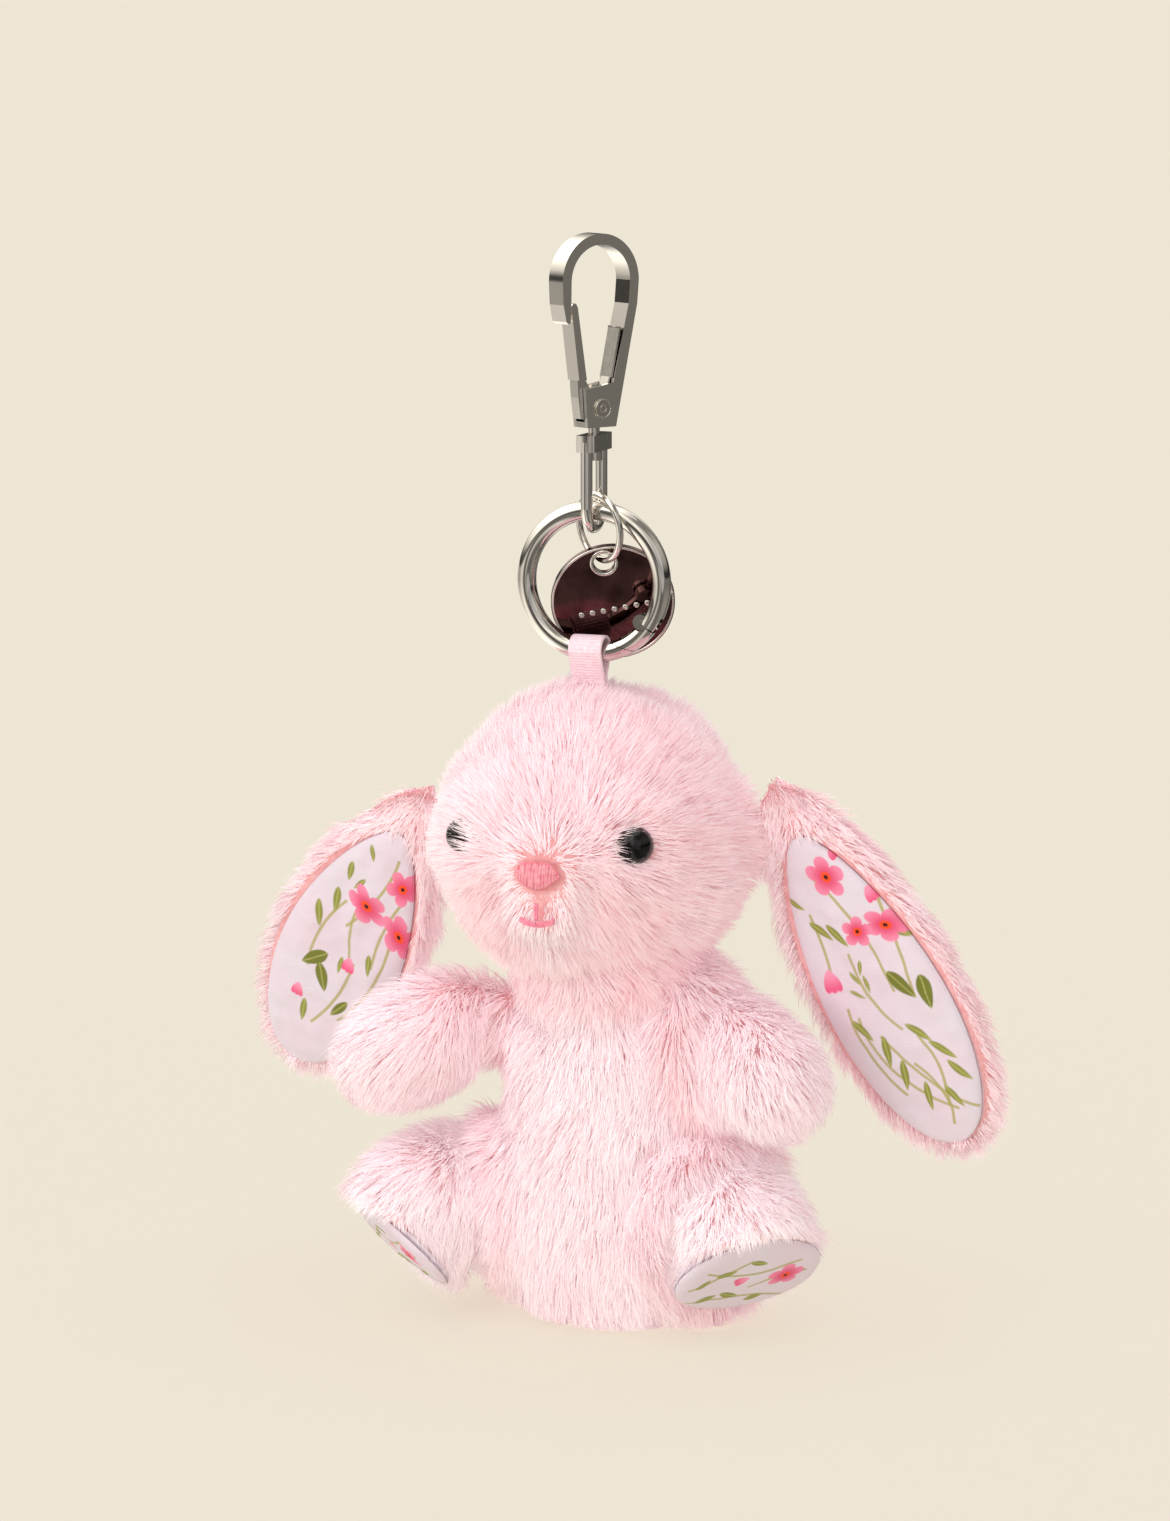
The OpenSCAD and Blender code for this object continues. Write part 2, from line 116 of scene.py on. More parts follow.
def node_tree(node):
    o = NODES[node]
    o.data.calc_loop_triangles()
    tris = np.empty(3 * len(o.data.loop_triangles), int)
    o.data.loop_triangles.foreach_get("vertices", tris)
    return BVHTree.FromPolygons(node_points(node).tolist(), tris.reshape(-1, 3).tolist())


def main_axes(points):
    """Longest, middle and shortest direction of a set of points, as the columns."""
    centred = points - points.mean(axis=0)
    values, vectors = np.linalg.eigh(centred.T @ centred)
    axes = vectors[:, np.argsort(-values)]
    return axes * np.sign(np.linalg.det(axes))


def make_mesh(name, verts, faces, materials, slots=None, normals=None):
    """A mesh piece from an array of points and one or more arrays of faces of equal size."""
    groups = faces if isinstance(faces, list) else [faces]
    mesh = bpy.data.meshes.new(name)
    mesh.vertices.add(len(verts))
    mesh.vertices.foreach_set("co", (np.asarray(verts) * MM).ravel())
    loops = np.concatenate([np.asarray(g).ravel() for g in groups])
    sizes = np.concatenate([np.full(len(g), np.asarray(g).shape[1]) for g in groups])
    mesh.loops.add(len(loops))
    mesh.loops.foreach_set("vertex_index", loops.astype(np.int32))
    mesh.polygons.add(len(sizes))
    starts = np.concatenate([[0], np.cumsum(sizes)[:-1]])
    mesh.polygons.foreach_set("loop_start", starts.astype(np.int32))
    for m in materials:
        mesh.materials.append(m)
    if slots is not None:
        mesh.polygons.foreach_set("material_index", slots.astype(np.int32))
    mesh.update(calc_edges=True)
    mesh.polygons.foreach_set("use_smooth", np.ones(len(sizes), bool))
    if normals is not None:
        mesh.normals_split_custom_set_from_vertices(normals.tolist())
    o = bpy.data.objects.new(name, mesh)
    bpy.context.scene.collection.objects.link(o)
    return o


def tube(path, radius, sides=8):
    """Points and faces of a round tube along a path, closed at both ends."""
    path = np.asarray(path, float)
    n = len(path)
    radius = np.broadcast_to(radius, n)
    along = unit(np.gradient(path, axis=0))
    up = np.array([0.0, 0.0, 1.0]) if abs(along[0, 2]) < 0.9 else np.array([1.0, 0.0, 0.0])
    side = unit(np.cross(along, up))
    other = np.cross(along, side)
    turn = np.linspace(0, 2 * np.pi, sides, endpoint=False)
    rings = (
        path[:, None]
        + radius[:, None, None]
        * (np.cos(turn)[None, :, None] * side[:, None] + np.sin(turn)[None, :, None] * other[:, None])
    )
    verts = np.concatenate([rings.reshape(-1, 3), path[:1], path[-1:]])
    i = np.arange(n - 1)[:, None] * sides
    j = np.arange(sides)[None]
    k = (j + 1) % sides
    quads = np.stack([i + j, i + k, i + sides + k, i + sides + j], -1).reshape(-1, 4)
    j, k = j[0], k[0]
    ends = np.concatenate([
        np.stack([np.full(sides, n * sides), k, j], -1),
        np.stack([np.full(sides, n * sides + 1), (n - 1) * sides + j, (n - 1) * sides + k], -1),
    ])
    return verts, quads, ends


def rim_of(index):
    """The outer points of a grid of point numbers, in order all round."""
    return np.concatenate([index[0], index[1:, -1], index[-1, -2::-1], index[-2:0:-1, 0]])


def join_parts(parts):
    """One set of points and faces from several (points, quads, triangles)."""
    verts, quads, tris, start = [], [], [], 0
    for v, q, t in parts:
        verts.append(v)
        quads.append(q + start)
        tris.append(t + start)
        start += len(v)
    return np.concatenate(verts), [np.concatenate(quads), np.concatenate(tris)]


# ---------- materials ----------

def new_material(name):
    m = bpy.data.materials.new(name)
    m.use_nodes = True
    tree = m.node_tree
    shader = next(n for n in tree.nodes if n.type == "BSDF_PRINCIPLED")
    return m, tree, shader


def set_inputs(shader, **values):
    for key, value in values.items():
        shader.inputs[key.replace("_", " ")].default_value = value


def add_node(tree, kind, **settings):
    n = tree.nodes.new(kind)
    for key, value in settings.items():
        if key in n.inputs.keys():
            n.inputs[key].default_value = value
        else:
            setattr(n, key, value)
    return n


def noise_between(tree, scale, low, high, target):
    """Links a noise that runs between two colours or two values to a socket."""
    place = add_node(tree, "ShaderNodeTexCoord")
    blobs = add_node(tree, "ShaderNodeTexNoise", Scale=scale, Detail=3.0)
    ramp = add_node(tree, "ShaderNodeValToRGB")
    ramp.color_ramp.elements[0].position = 0.3
    ramp.color_ramp.elements[1].position = 0.7
    ramp.color_ramp.elements[0].color = (*low, 1) if hasattr(low, "__len__") else (low, low, low, 1)
    ramp.color_ramp.elements[1].color = (*high, 1) if hasattr(high, "__len__") else (high, high, high, 1)
    tree.links.new(place.outputs["Object"], blobs.inputs["Vector"])
    tree.links.new(blobs.outputs["Fac"], ramp.inputs["Fac"])
    tree.links.new(ramp.outputs["Color"], target)
    return blobs


def bump(tree, shader, source, strength, distance):
    b = add_node(tree, "ShaderNodeBump", Strength=strength, Distance=distance * MM)
    tree.links.new(source, b.inputs["Height"])
    tree.links.new(b.outputs["Normal"], shader.inputs["Normal"])


def metal_material(name, colour, rough, tint=0.04):
    m, tree, shader = new_material(name)
    set_inputs(shader, Metallic=1.0)
    c = np.array(colour)
    noise_between(tree, 260, c * (1 - tint), c, shader.inputs["Base Color"])
    noise_between(tree, 900, rough * 0.75, rough * 1.25, shader.inputs["Roughness"])
    return m


def cloth_material(name, low, high, scale, rough=0.9, sheen=0.2, depth=0.1):
    m, tree, shader = new_material(name)
    set_inputs(shader, Roughness=rough, Sheen_Weight=sheen)
    blobs = noise_between(tree, scale, low, high, shader.inputs["Base Color"])
    bump(tree, shader, blobs.outputs["Fac"], 0.4, depth)
    return m


def strand_material(name, colour):
    m, _, shader = new_material(name)
    # the faint pink glow is painted light: the strands glow to fill the shade in the pile with pink
    set_inputs(shader, Base_Color=(*colour, 1), Roughness=0.85, Sheen_Weight=0.15,
               Specular_IOR_Level=0.2, Emission_Color=(1.0, 0.7, 0.74, 1), Emission_Strength=0.14)
    return m


def print_material(name):
    """Cotton whose colours are painted on the mesh, with a fine plain weave."""
    m, tree, shader = new_material(name)
    set_inputs(shader, Roughness=0.85, Sheen_Weight=0.15, Specular_IOR_Level=0.25)
    paint = add_node(tree, "ShaderNodeAttribute", attribute_name="print")
    tree.links.new(paint.outputs["Color"], shader.inputs["Base Color"])
    place = add_node(tree, "ShaderNodeTexCoord")
    weave = [
        add_node(tree, "ShaderNodeTexWave", bands_direction=d, Scale=520, Distortion=0.6)
        for d in ("X", "Z")
    ]
    both = add_node(tree, "ShaderNodeMath", operation="ADD")
    for i, w in enumerate(weave):
        tree.links.new(place.outputs["Object"], w.inputs["Vector"])
        tree.links.new(w.outputs["Fac"], both.inputs[i])
    bump(tree, shader, both.outputs["Value"], 0.25, 0.06)
    return m


NICKEL = metal_material("polished_nickel", (0.82, 0.79, 0.74), 0.09)
SATIN = metal_material("satin_nickel", (0.74, 0.70, 0.63), 0.2)
SPRING = metal_material("spring_steel", (0.66, 0.64, 0.60), 0.24)
MIRROR = metal_material("tag_mirror", (0.13, 0.06, 0.06), 0.07, 0.6)
SHADES = [
    strand_material(f"fur_{i}", linear(*c))
    for i, c in enumerate([
        (240, 148, 152), (246, 176, 181), (248, 196, 202), (250, 209, 215),
        (251, 219, 224), (252, 228, 232), (253, 236, 240), (254, 243, 247), (255, 249, 251),
    ])
]
SKIN = cloth_material("plush_backing", linear(238, 166, 168), linear(246, 192, 194), 900)
BEAD, bead_tree, bead_shader = new_material("black_bead")
set_inputs(bead_shader, Roughness=0.05, Specular_IOR_Level=0.4, Coat_Weight=0.15, Coat_Roughness=0.03)
noise_between(bead_tree, 300, linear(4, 3, 4), linear(12, 9, 10), bead_shader.inputs["Base Color"])
WASHER = cloth_material("washer_plastic", linear(205, 205, 202), linear(226, 226, 224), 500, 0.5, 0)
NOSE = cloth_material("nose_thread", linear(232, 128, 145), linear(246, 176, 186), 1500, 0.55, 0.3)
NOSE_EDGE = cloth_material("nose_edge", linear(222, 98, 118), linear(236, 132, 146), 1500, 0.6, 0.3)
MOUTH = cloth_material("mouth_thread", linear(232, 112, 140), linear(244, 158, 178), 1500, 0.55, 0.3)
RIBBON = cloth_material("ribbon_pink", linear(244, 210, 221), linear(252, 230, 237), 1400, 0.6, 0.3, 0.03)
PRINT = print_material("floral_cotton")


# ---------- plush: skins under the fur ----------

RABBIT_PARTS = ("head", "body", "arm_left", "arm_right", "leg_left", "leg_right", "tail")
BODY_OF = {**dict.fromkeys(RABBIT_PARTS, "rabbit"), "ear_left": "ear_left", "ear_right": "ear_right"}
COVERS = {n: f"{n}_back" if n.startswith("ear") else f"{n}_cover" for n in BODY_OF}
PANEL_OF = {"ear_left": "ear_left_lining", "ear_right": "ear_right_lining",
            "leg_left": "foot_pad_left", "leg_right": "foot_pad_right"}
CAD_TREES = {n: node_tree(n) for n in
             [*COVERS.values(), *PANEL_OF.values(), "eye_left", "eye_right", "nose_patch", "mouth_stitch"]}


def nearest(tree, points, reach):
    """The distance of points to a surface, up to reach."""
    found = np.full(len(points), float(reach))
    for i, point in enumerate(points.tolist()):
        gap = tree.find_nearest(point, reach)[3]
        if gap is not None:
            found[i] = gap
    return found


class Skin:
    """The cloth surface that the fur of one plush part grows from, a little inside the CAD cover."""

    def __init__(self, name, node, inset, lumps, rounds=3, core=0.0):
        points = node_points(node)
        self.name = name
        self.axes = main_axes(points)
        local = points @ self.axes
        low, high = local.min(axis=0), local.max(axis=0)
        self.centre = self.axes @ ((low + high) / 2)
        half = (high - low) / 2
        ball = bmesh.new()
        bmesh.ops.create_icosphere(ball, subdivisions=6, radius=1)
        ball.verts.ensure_lookup_table()
        sphere = np.array([v.co for v in ball.verts])
        self.faces = np.array([[v.index for v in f.verts] for f in ball.faces])
        ball.free()
        tree = node_tree(node)
        reach = sphere * half
        root = np.zeros_like(reach)
        root[:, 0] = np.clip(reach[:, 0], -core, core)
        start = self.centre + (root + 3 * (reach - root)) @ self.axes.T
        aim = unit((root - reach) @ self.axes.T)
        # a ray that meets nothing before the core came in through an opening of the cover
        far = 3 * np.linalg.norm(reach - root, axis=1)
        hits = []
        for s, d, r, limit in zip(start, aim, reach, far):
            hit = tree.ray_cast(Vector(s), Vector(d), limit)[0]
            hits.append(hit if hit is not None else Vector(self.centre + self.axes @ r))
        verts = np.array(hits)
        edges = np.concatenate([self.faces[:, [0, 1]], self.faces[:, [1, 2]], self.faces[:, [2, 0]]])
        count = np.bincount(edges.ravel(), minlength=len(verts)).astype(float)

        def relax(v):
            total = np.zeros_like(v)
            for axis in range(v.shape[1]):
                total[:, axis] = np.bincount(edges[:, 0], v[edges[:, 1], axis], len(v)) + np.bincount(
                    edges[:, 1], v[edges[:, 0], axis], len(v))
            return total / count[:, None]

        for _ in range(rounds):
            verts = 0.5 * verts + 0.5 * relax(verts)
        normals = self.normals_of(verts)
        depth = inset - lumps * noise(verts, 9.0, 3) - 0.4 * lumps * noise(verts, 4.0, 5)
        # the skin meets the parts it is sewn to, and lies just behind the panels and the eyes
        for other, reach, target in self.neighbours():
            gap = nearest(CAD_TREES[other], verts, reach)
            depth += (target - depth) * (1 - smooth_step(0.35 * reach, reach, gap))
        depth = relax(relax(depth[:, None]))[:, 0]
        verts = verts - normals * depth[:, None]
        verts[:, 2] = np.maximum(verts[:, 2], SEAT + 0.4)
        self.verts = verts
        self.normals = self.normals_of(verts)
        self.tree = BVHTree.FromPolygons(verts.tolist(), self.faces.tolist())
        self.low, self.high = verts.min(axis=0), verts.max(axis=0)

    def neighbours(self):
        """The CAD nodes near this part, how near counts, and how deep the skin lies there."""
        found = []
        for name, node in COVERS.items():
            if name != self.name:
                same = BODY_OF[name] == BODY_OF[self.name]
                found.append((node, 4.5, -1.6 if same else 0.3))
        if self.name in PANEL_OF:
            found.append((PANEL_OF[self.name], 3.5, 0.35))
        if self.name == "head":
            found += [("eye_left", 7, 0.5), ("eye_right", 7, 0.5), ("nose_patch", 6, 0.5),
                      ("mouth_stitch", 4, 0.5)]
        return found

    def normals_of(self, verts):
        a, b, c = (verts[self.faces[:, i]] for i in range(3))
        n = np.cross(b - a, c - a)
        total = np.zeros_like(verts)
        for i in range(3):
            for axis in range(3):
                total[:, axis] += np.bincount(self.faces[:, i], n[:, axis], len(verts))
        return unit(total)

    def depth_of(self, points, margin):
        """Signed distance of points to this skin, positive inside, -margin where it is further."""
        found = np.full(len(points), -margin)
        near = np.all((points > self.low - margin) & (points < self.high + margin), axis=1)
        for i in np.nonzero(near)[0]:
            here = Vector(points[i])
            spot, normal, _, gap = self.tree.find_nearest(here, margin)
            if spot is not None:
                found[i] = -gap if (here - spot).dot(normal) > 0 else gap
        return found


EAR_FACE = {}
for ear in ("ear_left", "ear_right"):
    panel = node_points(f"{ear}_lining")
    normal = main_axes(panel)[:, 2]
    EAR_FACE[ear] = normal if normal[1] < 0 else -normal

SKINS = {
    "head": Skin("head", "head_cover", 2.6, 0.5, rounds=8),
    "body": Skin("body", "body_cover", 2.4, 0.5, rounds=5),
    "arm_left": Skin("arm_left", "arm_left_cover", 2.2, 0.4, core=5),
    "arm_right": Skin("arm_right", "arm_right_cover", 2.2, 0.4, core=5),
    "leg_left": Skin("leg_left", "leg_left_cover", 2.2, 0.4, core=3),
    "leg_right": Skin("leg_right", "leg_right_cover", 2.2, 0.4, core=3),
    "tail": Skin("tail", "tail_cover", 2.2, 0.3),
    "ear_left": Skin("ear_left", "ear_left_back", 1.7, 0.25, core=20),
    "ear_right": Skin("ear_right", "ear_right_back", 1.7, 0.25, core=20),
}
for name, skin in SKINS.items():
    o = make_mesh(f"{name}_skin", skin.verts, skin.faces, [SKIN], normals=skin.normals)
    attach(o, BODY_OF[name])
    if name.startswith("ear"):
        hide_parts(f"{name}_back")
    else:
        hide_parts(f"{name}_cover", f"{name}_stuffing")


# ---------- plush: fur ----------

NOSE_AT = middle("nose_patch")
MOUTH_AT = middle("mouth_stitch")
EYES = [middle("eye_left"), middle("eye_right")]
HEAD_AT = middle("head_cover")
BODY_AT = middle("body_cover")
RIBBON_AT = middle("hang_ribbon")
DOWN = np.array([0.0, 0.0, -1.0])
STRAND_WIDTH = 0.15
# degrees that a strand's flat side is turned by, as a standard deviation
STRAND_ROLL = 24
# in one mesh piece
MOST_STRANDS = 38000
# how near another part presses on the pile
CROWD_REACH = 6.0
# bare radius round the left and the right eye, and the length share of the strands next to it
EYE_CLEAR = ((0.3, 1.35), (2.5, 0.65))
# from the middle of an eye's bead and shank to the bead's front
EYE_FRONT = 3.3
# half widths of the bare patches under the nose and round the ribbon
NOSE_CLEAR = np.array([3.7, 6, 2.7])
RIBBON_CLEAR = np.array([3.4, 1.6, 30])
# clump width in millimetres, share of the way that the tips are pulled in, and seed
CLUMPS = ((2.4, 0.13, 51), (0.9, 0.2, 52))
# shades of a strand's five faces, from the root to the tip
FACE_SHADES = (3.3, 3.3, 4.6, 4.6, 5.4)


def long_axis(name):
    axis = SKINS[name].axes[:, 0]
    return axis if axis[2] < 0 else -axis


def outward_from_line(points, centre, axis):
    r = points - centre
    return unit(r - (r @ axis)[:, None] * axis)


def comb(name, p, n):
    """The direction the pile is brushed in."""
    if name == "head":
        away = unit(p - NOSE_AT)
        flow = away + 0.25 * DOWN * (1 - 2 * smooth_step(0, 14, p[:, 2] - HEAD_AT[2]))[:, None]
        return flow + 0.3 * n
    if name == "body":
        return DOWN + 0.25 * unit((p - BODY_AT) * np.array([1, 1, 0]))
    if name == "tail":
        return n + 0.5 * DOWN
    if name.startswith(("arm", "leg")):
        outward = unit((SKINS[name].centre - BODY_AT) * np.array([1, 1, 0]))
        return DOWN + (0.6 if name.startswith("arm") else 0.35) * outward
    axis = long_axis(name)
    return axis + 0.55 * outward_from_line(p, SKINS[name].centre, axis)


def grow(name, density, length, paler):
    """The fur of one part, as flat tapered strands that lean together in clumps."""
    skin = SKINS[name]
    a, b, c = (skin.verts[skin.faces[:, i]] for i in range(3))
    area = 0.5 * np.linalg.norm(np.cross(b - a, c - a), axis=1)
    count = int(area.sum() * density * (1))
    pick = np.searchsorted(np.cumsum(area) / area.sum(), rng.random(count))
    u, v = rng.random(count), rng.random(count)
    flip = u + v > 1
    u, v = np.where(flip, 1 - u, u), np.where(flip, 1 - v, v)
    w = 1 - u - v
    p = w[:, None] * a[pick] + u[:, None] * b[pick] + v[:, None] * c[pick]
    na, nb, nc = (skin.normals[skin.faces[pick, i]] for i in range(3))
    n = unit(w[:, None] * na + u[:, None] * nb + v[:, None] * nc)

    # crowding by the other parts
    crowd = np.full(count, -CROWD_REACH)
    for other_name, other in SKINS.items():
        if other_name != name:
            crowd = np.maximum(crowd, other.depth_of(p, CROWD_REACH))
    keep = crowd < 0.6
    keep &= p[:, 2] > SEAT + 0.5
    short = np.ones(count)
    if name == "head":
        for eye, (clear, least) in zip(EYES, EYE_CLEAR):
            gap = np.linalg.norm(p - eye_front(eye), axis=1)
            keep &= gap > clear
            short *= least + (1 - least) * smooth_step(clear, 3 * clear, gap)
        gap = np.linalg.norm((p - NOSE_AT) / NOSE_CLEAR, axis=1)
        keep &= gap > 1
        short *= 0.4 + 0.6 * smooth_step(1, 2.8, gap)
        gap = nearest(CAD_TREES["mouth_stitch"], p, 4.5)
        keep &= gap > 0.5
        short *= 0.4 + 0.6 * smooth_step(0.5, 4.5, gap)
        gap = np.linalg.norm((p - RIBBON_AT) / RIBBON_CLEAR, axis=1)
        keep &= gap > 1
    if name in PANEL_OF:
        gap = nearest(CAD_TREES[PANEL_OF[name]], p, 3.0)
        front = EAR_FACE[name] if name in EAR_FACE else SOLE[name]
        facing = n @ front
        keep &= ~((gap < 0.9) & (facing > 0.3))
        short *= np.where(facing > 0.5, 0.6, 1.0)
        if name.startswith("leg"):
            short *= 0.35 + 0.65 * smooth_step(0.8, 3, gap)
    p, n, short, crowd = p[keep], n[keep], short[keep], crowd[keep]
    count = len(p)

    flow = comb(name, p, n)
    flow = unit(flow - (np.sum(flow * n, 1))[:, None] * n)
    sway = np.stack([noise(p, 7.0, s) for s in (11, 12, 13)], 1)
    fine = np.stack([noise(p, 2.0, s) for s in (21, 22, 23)], 1)
    flow = unit(flow + 0.45 * sway + 0.35 * fine + 0.22 * rng.normal(size=(count, 3)))
    flow = unit(flow - (np.sum(flow * n, 1))[:, None] * n)

    size = length * short * (0.8 + 0.35 * rng.random(count)) * (1 + 0.15 * noise(p, 5.0, 31))
    lift = np.radians(np.clip(52 + 14 * noise(p, 6.0, 41) + 9 * rng.normal(size=count), 18, 85))
    points = [p - 0.4 * n]
    for share in (1.0, 0.66, 0.36):
        angle = lift * share
        way = np.sin(angle)[:, None] * n + np.cos(angle)[:, None] * flow
        way = unit(way + 0.08 * rng.normal(size=(count, 3)) + 0.06 * DOWN)
        points.append(points[-1] + way * (size / 3)[:, None])

    for cell, pull, seed in CLUMPS:
        jitter = 0.5 * cell * np.stack([noise(p, cell * 1.3, seed + s) for s in (0, 3, 6)], 1)
        key = np.floor((p + jitter) / cell).astype(np.int64)
        key = key[:, 0] * 73856093 ^ key[:, 1] * 19349663 ^ key[:, 2] * 83492791
        _, group = np.unique(key, return_inverse=True)
        share = np.bincount(group).astype(float)
        for step, amount in ((1, 0.2), (2, 0.7), (3, 1.0)):
            mean = np.stack([np.bincount(group, points[step][:, i]) for i in range(3)], 1) / share[:, None]
            points[step] = points[step] + pull * amount * (mean[group] - points[step])
    for step in range(4):
        points[step][:, 2] = np.maximum(points[step][:, 2], SEAT + 0.15 + 0.1 * step)

    way = unit(points[3] - points[0])
    side = unit(np.cross(way, n) + 1e-6)
    roll = np.radians(STRAND_ROLL) * rng.normal(size=count)
    side = np.cos(roll)[:, None] * side + np.sin(roll)[:, None] * np.cross(way, side)
    face = np.cross(side, way)
    face *= np.where(np.sum(face * n, 1) < 0, -1, 1)[:, None]
    thick = STRAND_WIDTH * (0.75 + 0.5 * rng.random(count)) / 2
    verts = np.empty((count, 7, 3))
    for step, taper in ((0, 1.0), (1, 0.95), (2, 0.7)):
        verts[:, 2 * step] = points[step] - side * (thick * taper)[:, None]
        verts[:, 2 * step + 1] = points[step] + side * (thick * taper)[:, None]
    verts[:, 6] = points[3]
    shade_normal = np.empty((count, 7, 3))
    for step, lean in ((0, 0.0), (1, 0.0), (2, 0.15), (3, 0.3)):
        mixed = unit(0.88 * n + 0.12 * face + lean * way)
        shade_normal[:, 2 * step:2 * step + 2] = mixed[:, None]
    start = 7 * np.arange(count)[:, None]
    faces = np.stack([start + f for f in ([0, 1, 3], [0, 3, 2], [2, 3, 5], [2, 5, 4], [4, 5, 6])], 1)
    # tones count shades: darker where parts touch, which is painted shade between the parts, paler round
    # the nose and mouth, and shifted part by part, which is painted light and shade
    tone = 0.45 * rng.normal(size=count) + 0.7 * noise(p, 10.0, 61)
    tone = tone - 2.2 * np.exp(np.minimum(crowd, 0) / 1.6) + paler
    if name == "head":
        muzzle = np.minimum(np.linalg.norm(p - NOSE_AT, axis=1), np.linalg.norm(p - MOUTH_AT, axis=1))
        tone += 2.2 * (1 - smooth_step(2, 10, muzzle))
    shade = np.stack([tone + base for base in FACE_SHADES], 1)
    shade = np.clip(np.round(shade), 0, len(SHADES) - 1)

    pieces = max(1, math.ceil(count / MOST_STRANDS))
    order = np.argsort(p[:, 2], kind="stable")
    for i, part in enumerate(np.array_split(order, pieces)):
        index = (7 * np.arange(len(part)) - 7 * part)[:, None, None]
        # every strand of this share, renumbered from 0
        share_faces = (faces[part] + index).reshape(-1, 3)
        o = make_mesh(f"{name}_fur_{i + 1}", verts[part].reshape(-1, 3), share_faces, SHADES,
                      shade[part].ravel(), shade_normal[part].reshape(-1, 3))
        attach(o, BODY_OF[name])


def eye_front(eye):
    """A point in the front of an eye's bead, from the middle of the bead and shank."""
    way = unit((eye - HEAD_AT) * np.array([1, 1, 0]))
    return eye + way * EYE_FRONT


SOLE = {}
for leg in ("leg_left", "leg_right"):
    pad = PANEL_OF[leg]
    normal = main_axes(node_points(pad))[:, 2]
    away = middle(pad) - SKINS[leg].centre
    SOLE[leg] = normal if normal @ away > 0 else -normal

# strands per square millimetre, their length, and how many shades paler they are; the shades paler are
# painted light and shade, set part by part to how the light falls on each, so the left and right limbs
# differ
FUR = {"head": (11, 6.2, 0.0), "body": (10, 6.4, 1.8), "arm_left": (11, 6.0, 1.0),
       "arm_right": (11, 6.0, 2.0), "leg_left": (11, 6.0, 2.4), "leg_right": (11, 6.0, 3.0),
       "tail": (8, 7.0, 1.4), "ear_left": (10, 5.4, 0.9), "ear_right": (10, 5.4, 0.7)}
for part, (density, length, paler) in FUR.items():
    grow(part, density, length, paler)


# ---------- printed cotton panels ----------

PETALS = 5
# millimetres
STEM_WIDTH = 0.34
# leaves wider than this are painted in the darker green
WIDE_LEAF = 1.5
TURNED_UNDER = 0.8


def lay(colours, colour, mask):
    colours += mask[:, None] * (np.asarray(colour) - colours)


def turned(xy, centre, angle):
    d = xy - np.asarray(centre, float)
    a = math.radians(angle)
    return np.stack([d[:, 0] * math.cos(a) + d[:, 1] * math.sin(a),
                     -d[:, 0] * math.sin(a) + d[:, 1] * math.cos(a)], 1)


def paint_stem(colours, xy, start, bend, end):
    t = np.linspace(0, 1, 160)[:, None]
    curve = (1 - t) ** 2 * np.array(start) + 2 * t * (1 - t) * np.array(bend) + t ** 2 * np.array(end)
    low, high = curve.min(axis=0) - 1, curve.max(axis=0) + 1
    near = np.nonzero(np.all((xy > low) & (xy < high), axis=1))[0]
    gap = np.min(np.linalg.norm(xy[near][:, None] - curve[None], axis=2), axis=1)
    mask = np.zeros(len(xy))
    mask[near] = 1 - smooth_step(STEM_WIDTH / 2, STEM_WIDTH / 2 + 0.16, gap)
    lay(colours, linear(178, 168, 98), 0.85 * mask)


def paint_leaf(colours, xy, centre, angle, length, width, dark=False):
    q = turned(xy, centre, angle)
    t = np.clip(q[:, 0] / length + 0.5, 0, 1)
    reach = width / 2 * np.sin(np.pi * t ** 0.8) ** 0.8
    inside = (np.abs(q[:, 0]) < length / 2).astype(float)
    mask = inside * (1 - smooth_step(reach - 0.08, reach + 0.08, np.abs(q[:, 1])))
    lay(colours, linear(118, 124, 50) if dark else linear(142, 146, 66), mask)
    rib = inside * mask * (1 - smooth_step(0.05, 0.17, np.abs(q[:, 1])))
    lay(colours, linear(196, 196, 118), 0.6 * rib)


def paint_flower(colours, xy, centre, angle, size, squash):
    q = turned(xy, centre, angle)
    q[:, 1] /= squash
    r = np.hypot(q[:, 0], q[:, 1])
    turn = np.arctan2(q[:, 1], q[:, 0])
    lobe = np.abs(np.cos(PETALS * turn / 2)) ** 0.6
    edge = size * (0.55 + 0.45 * lobe)
    mask = 1 - smooth_step(edge - 0.12, edge + 0.12, r)
    streak = 0.5 + 0.5 * np.sin(turn * 17 + 3 * np.sin(r * 3))
    deep = smooth_step(0.2, 0.95, r / size)
    tone = linear(232, 70, 118)[None] * (1 - deep[:, None]) + linear(246, 138, 172)[None] * deep[:, None]
    tone = tone * (1 - 0.14 * streak[:, None]) + 0.06 * streak[:, None]
    colours += mask[:, None] * (tone - colours)
    heart = 1 - smooth_step(0.24 * size, 0.24 * size + 0.16, r)
    lay(colours, linear(250, 84, 44), heart)
    dot = 1 - smooth_step(0.09 * size, 0.09 * size + 0.12, r)
    lay(colours, linear(40, 18, 20), dot)


def paint_bud(colours, xy, centre, angle, size):
    q = turned(xy, centre, angle)
    for shift, turn in ((-0.5, 24), (0.5, -24), (0, 0)):
        w = turned(q, (0, shift * size * 0.45), turn)
        r = np.hypot(w[:, 0] / size, w[:, 1] / (0.48 * size))
        mask = 1 - smooth_step(0.9, 1.05, r)
        deep = smooth_step(-size, size, w[:, 0])[:, None]
        tone = linear(238, 92, 136)[None] * (1 - deep) + linear(248, 160, 190)[None] * deep
        colours += mask[:, None] * (tone - colours)


